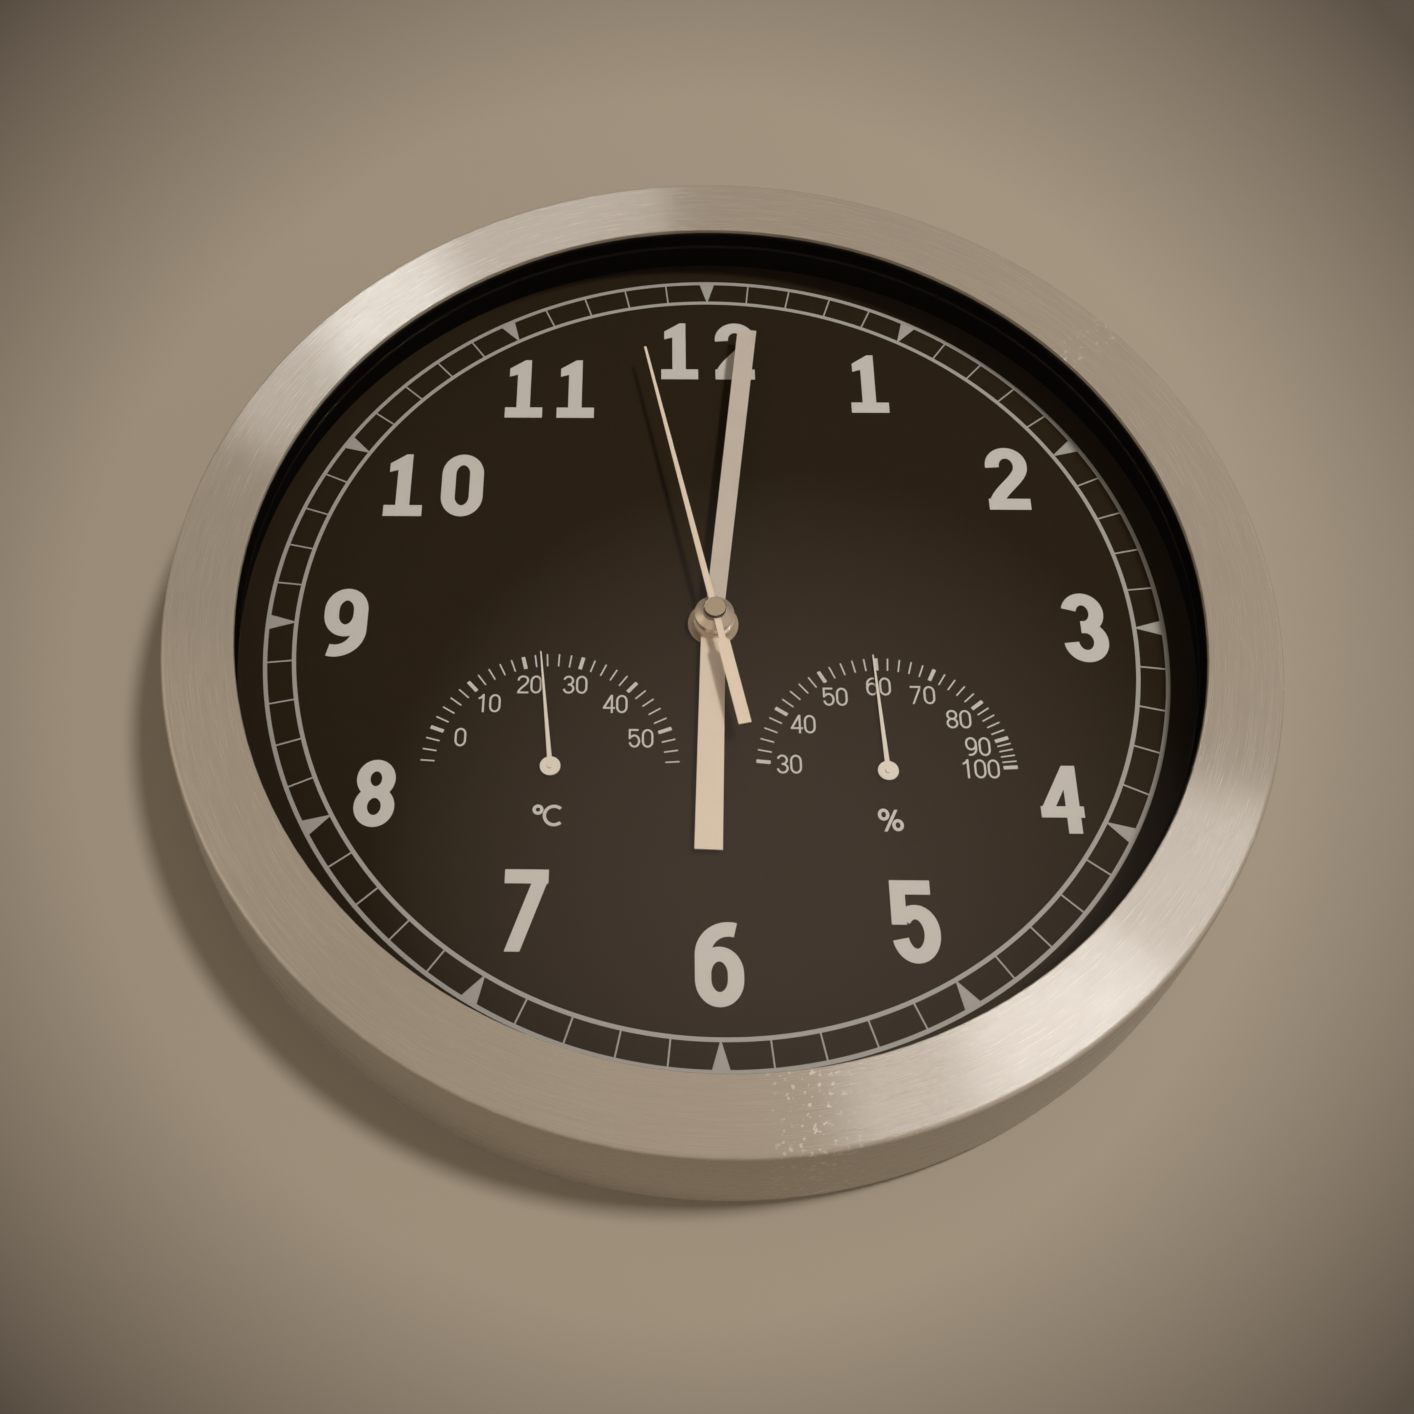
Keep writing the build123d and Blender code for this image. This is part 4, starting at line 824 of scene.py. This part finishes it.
def plain_finishes():
    """The grained finishes by slot."""
    return {
        "black_moulding": grained("black_moulding", (0.010, 0.009, 0.008), (0.017, 0.015, 0.013),
                                  (0.40, 0.44), 2600.0, 0.06),
        "dial_paint": grained("dial_paint", (0.0245, 0.0168, 0.0090), (0.0315, 0.0224, 0.0130),
                              (0.62, 0.72), 3600.0, 0.06, 0.0, 0.04),
        # Minute hand made more metallic than the hour hand so that it looks darker: painted shade.
        "hand_metal": hand_metal("minute_hand_shaded_metal", MINUTE_SHADED_METALLIC),
        "cap_metal": cap_metal(),
        "movement_moulding": grained("movement_moulding", (0.020, 0.020, 0.021), (0.030, 0.030, 0.031),
                                     (0.42, 0.54), 2200.0, 0.08),
        "button_moulding": grained("button_moulding", (0.58, 0.57, 0.53), (0.64, 0.63, 0.59),
                                   (0.34, 0.42), 2400.0, 0.03),
        "wheel_moulding": grained("wheel_moulding", (0.76, 0.74, 0.68), (0.84, 0.82, 0.76),
                                  (0.40, 0.50), 2600.0, 0.03),
        "train_metal": grained("train_metal", (0.48, 0.48, 0.47), (0.60, 0.60, 0.59),
                               (0.28, 0.40), 2600.0, 0.04, 1.0),
        "brass": grained("brass", (0.60, 0.42, 0.17), (0.70, 0.52, 0.23), (0.28, 0.38), 2400.0, 0.04, 1.0),
        "magnet": grained("magnet", (0.10, 0.10, 0.105), (0.16, 0.16, 0.165),
                          (0.45, 0.6), 3000.0, 0.12, 0.4),
        "winding_wire": grained("winding_wire", (0.42, 0.16, 0.06), (0.56, 0.24, 0.10),
                                (0.3, 0.42), 2400.0, 0.1, 0.8),
        "ferrite": grained("ferrite", (0.06, 0.06, 0.064), (0.09, 0.09, 0.095), (0.55, 0.7), 2800.0, 0.12),
        "board": grained("board", (0.03, 0.13, 0.05), (0.045, 0.17, 0.07), (0.35, 0.45), 1800.0, 0.05),
        "chip_resin": grained("chip_resin", (0.010, 0.010, 0.010), (0.016, 0.016, 0.016),
                              (0.22, 0.32), 1600.0, 0.04),
        "cell_wrap": grained("cell_wrap", (0.10, 0.105, 0.115), (0.13, 0.135, 0.145),
                             (0.25, 0.33), 1600.0, 0.02),
        "gasket_rubber": grained("gasket_rubber", (0.014, 0.014, 0.014), (0.022, 0.022, 0.022),
                                 (0.7, 0.85), 2600.0, 0.15),
        "screw_steel": grained("screw_steel", (0.46, 0.46, 0.47), (0.56, 0.56, 0.57),
                               (0.3, 0.42), 2200.0, 0.05, 1.0),
        "strip_metal": grained("strip_metal", (0.52, 0.38, 0.18), (0.62, 0.47, 0.24),
                               (0.28, 0.38), 2400.0, 0.04, 1.0),
    }


def finish_solids():
    """Gives every solid the finish of its slot, or one of its own."""
    finishes = plain_finishes()
    finishes["ring_metal"] = ring_metal()
    finishes["lens_glass"] = lens_glass()
    # The hour hand is made less metallic than the minute hand so that it looks lighter: painted light.
    pointer = pointer_paint()
    # The dial's black wall is darkened past its black moulding, as painted shade.
    special = {"dial_ring": deep_black(), "hour_hand": hand_metal("hour_hand_lit_metal", HOUR_LIT_METALLIC),
               "second_hand": blade_metal("second_hand_metal", SECOND_METALLIC),
               "thermometer_pointer": pointer, "hygrometer_pointer": pointer}
    for part in frame["record"]["subparts"]:
        solid = frame["nodes"][part["node"]]
        solid.data.materials.clear()
        solid.data.materials.append(special.get(part["node"], finishes[part["material_slot"]]))


# Stage

def wall_paint():
    """Pale paint with a painted light pool at the clock and painted shade further out, clear from behind."""
    material, tree, surface = shader("wall_paint")
    place = object_place(tree)
    parts = parts_of(tree, place)
    rise = math_node(tree, "ADD", parts["Z"], WALL_LIT_POOL_DROP)
    rise = math_node(tree, "DIVIDE", rise, WALL_LIT_POOL_TALLER)
    side = math_node(tree, "ADD", parts["X"], WALL_LIT_POOL_LEFT)
    squares = [math_node(tree, "POWER", length, 2.0) for length in (rise, side)]
    reach = math_node(tree, "SQRT", math_node(tree, "ADD", *squares))
    wider = math_node(tree, "MULTIPLY", parts["Z"], WALL_LIT_POOL_SPREAD)
    spread = math_node(tree, "ADD", wider, WALL_LIT_POOL_WIDTH)
    # Outside this oval the paint fades to painted shade: a painted pool of light round the clock.
    fade = ranged(tree, math_node(tree, "DIVIDE", reach, spread), 0.0, 1.0, *WALL_LIT_POOL_FADE)
    tree.links.new(two_tone(tree, fade, WALL_LIT_PAINT, WALL_PAINTED_SHADE), surface.inputs["Base Color"])
    surface.inputs["Roughness"].default_value = WALL_ROUGHNESS
    bumped(tree, surface, noise(tree, place, WALL_GRAIN, 4.0, 0.6), *WALL_BUMP)
    behind = add(tree, "ShaderNodeNewGeometry").outputs["Backfacing"]
    show_mix(tree, behind, surface, add(tree, "ShaderNodeBsdfTransparent"))
    return material


def wall():
    """The plain wall, seen only from its front."""
    bpy.ops.object.select_all(action="DESELECT")
    bpy.ops.mesh.primitive_plane_add(size=WALL_SIZE, location=(0, WALL_GAP, 0), rotation=(math.pi / 2, 0, 0))
    plane = bpy.context.object
    plane.name = "wall"
    bpy.ops.object.transform_apply(location=True, rotation=True, scale=True)
    plane.data.materials.append(wall_paint())
    plane.visible_shadow = False


def hang_lamp(name, kind, place, power):
    """A lamp that looks at the clock."""
    data = bpy.data.lights.new(name, kind)
    data.energy = power
    holder = bpy.data.objects.new(name, data)
    bpy.context.scene.collection.objects.link(holder)
    holder.location = place
    holder.rotation_euler = (-Vector(place)).to_track_quat("-Z", "Y").to_euler()
    return holder


def disc_lamp(name, place, power, size, colour):
    """A round soft lamp."""
    holder = hang_lamp(name, "AREA", place, power)
    holder.data.shape = "DISK"
    holder.data.size = size
    holder.data.color = colour
    return holder


def sheen_lamp(name, pieces, angle, length, power):
    """A strip lamp for some pieces; its image lies along the ring's face, at an angle from twelve."""
    turn = math.radians(angle)
    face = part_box("frame_ring")[0].y
    spot = Vector((SHEEN_RADIUS * math.sin(turn), face, SHEEN_RADIUS * math.cos(turn)))
    sight = spot - Vector(CAMERA_PLACE)
    sight.y = -sight.y
    sight.normalize()
    holder = hang_lamp(name, "AREA", spot + sight * SHEEN_DISTANCE, power)
    along = Vector((math.cos(turn), 0, -math.sin(turn)))
    along = (along - sight * along.dot(sight)).normalized()
    holder.rotation_euler = Matrix((along, sight.cross(along), sight)).transposed().to_euler()
    holder.data.shape = "RECTANGLE"
    holder.data.size = length
    holder.data.size_y = SHEEN_WIDTH
    holder.data.color = SHEEN_COLOUR
    holder.visible_diffuse = False
    holder.light_linking.receiver_collection = pieces


def lamps():
    """Soft lamps, and strips that only draw the sheen of the ring and the hands."""
    for name, lamp in LAMPS.items():
        disc_lamp(name, **lamp)
    bpy.data.objects["soft_lamp"].visible_glossy = False
    pieces = bpy.data.collections.new("sheen_pieces")
    for node in SHEEN_PIECES:
        pieces.objects.link(frame["nodes"][node])
    for name, sheen in SHEENS.items():
        sheen_lamp(name, pieces, **sheen)
    rear = hang_lamp("rear_spot", "SPOT", REAR_SPOT_PLACE, REAR_SPOT_POWER)
    rear.data.shadow_soft_size = REAR_SPOT_SIZE
    rear.data.spot_size = 2 * math.atan(REAR_SPOT_REACH / Vector(REAR_SPOT_PLACE).length)
    rear.data.spot_blend = REAR_SPOT_BLEND


def room():
    """A room that is dim where the glass mirrors it, with one soft glow, and plain to direct sight."""
    world = bpy.data.worlds.new("room")
    bpy.context.scene.world = world
    world.use_nodes = True
    tree = world.node_tree
    sight = add(tree, "ShaderNodeTexCoord").outputs["Generated"]
    dim = ranged(tree, share_along(tree, sight, ROOM_DARK_SIDE), 0.0, 1.0, *ROOM_DARK_EDGE)
    glow = ranged(tree, share_along(tree, sight, ROOM_GLOW_SIDE), 0.0, 1.0, *ROOM_GLOW_EDGE)
    lit = two_tone(tree, glow, two_tone(tree, dim, ROOM_LIGHT, ROOM_DARK), ROOM_GLOW)
    seen = add(tree, "ShaderNodeLightPath").outputs["Is Camera Ray"]
    tree.links.new(two_tone(tree, seen, lit, ROOM_LIGHT), tree.nodes["Background"].inputs["Color"])


def camera():
    """The camera below the clock, looking up at it."""
    data = bpy.data.cameras.new("camera")
    data.lens = CAMERA_LENS
    data.shift_x, data.shift_y = CAMERA_SHIFT
    data.clip_start = CAMERA_NEAR
    holder = bpy.data.objects.new("camera", data)
    bpy.context.scene.collection.objects.link(holder)
    aim = (Vector(CAMERA_TARGET) - Vector(CAMERA_PLACE)).to_track_quat("-Z", "Y").to_matrix().to_4x4()
    holder.matrix_world = Matrix.Translation(CAMERA_PLACE) @ aim @ Matrix.Rotation(CAMERA_ROLL, 4, "Z")
    bpy.context.scene.camera = holder


bpy.context.scene.view_settings.view_transform = "Standard"
camera()
wall()
lamps()
room()
finish_solids()
minute_track(track_ink())
number_ink = silver_ink()
hour_numerals(number_ink)
thermometer_scale(number_ink)
hygrometer_scale(number_ink)
unit_marks(number_ink)
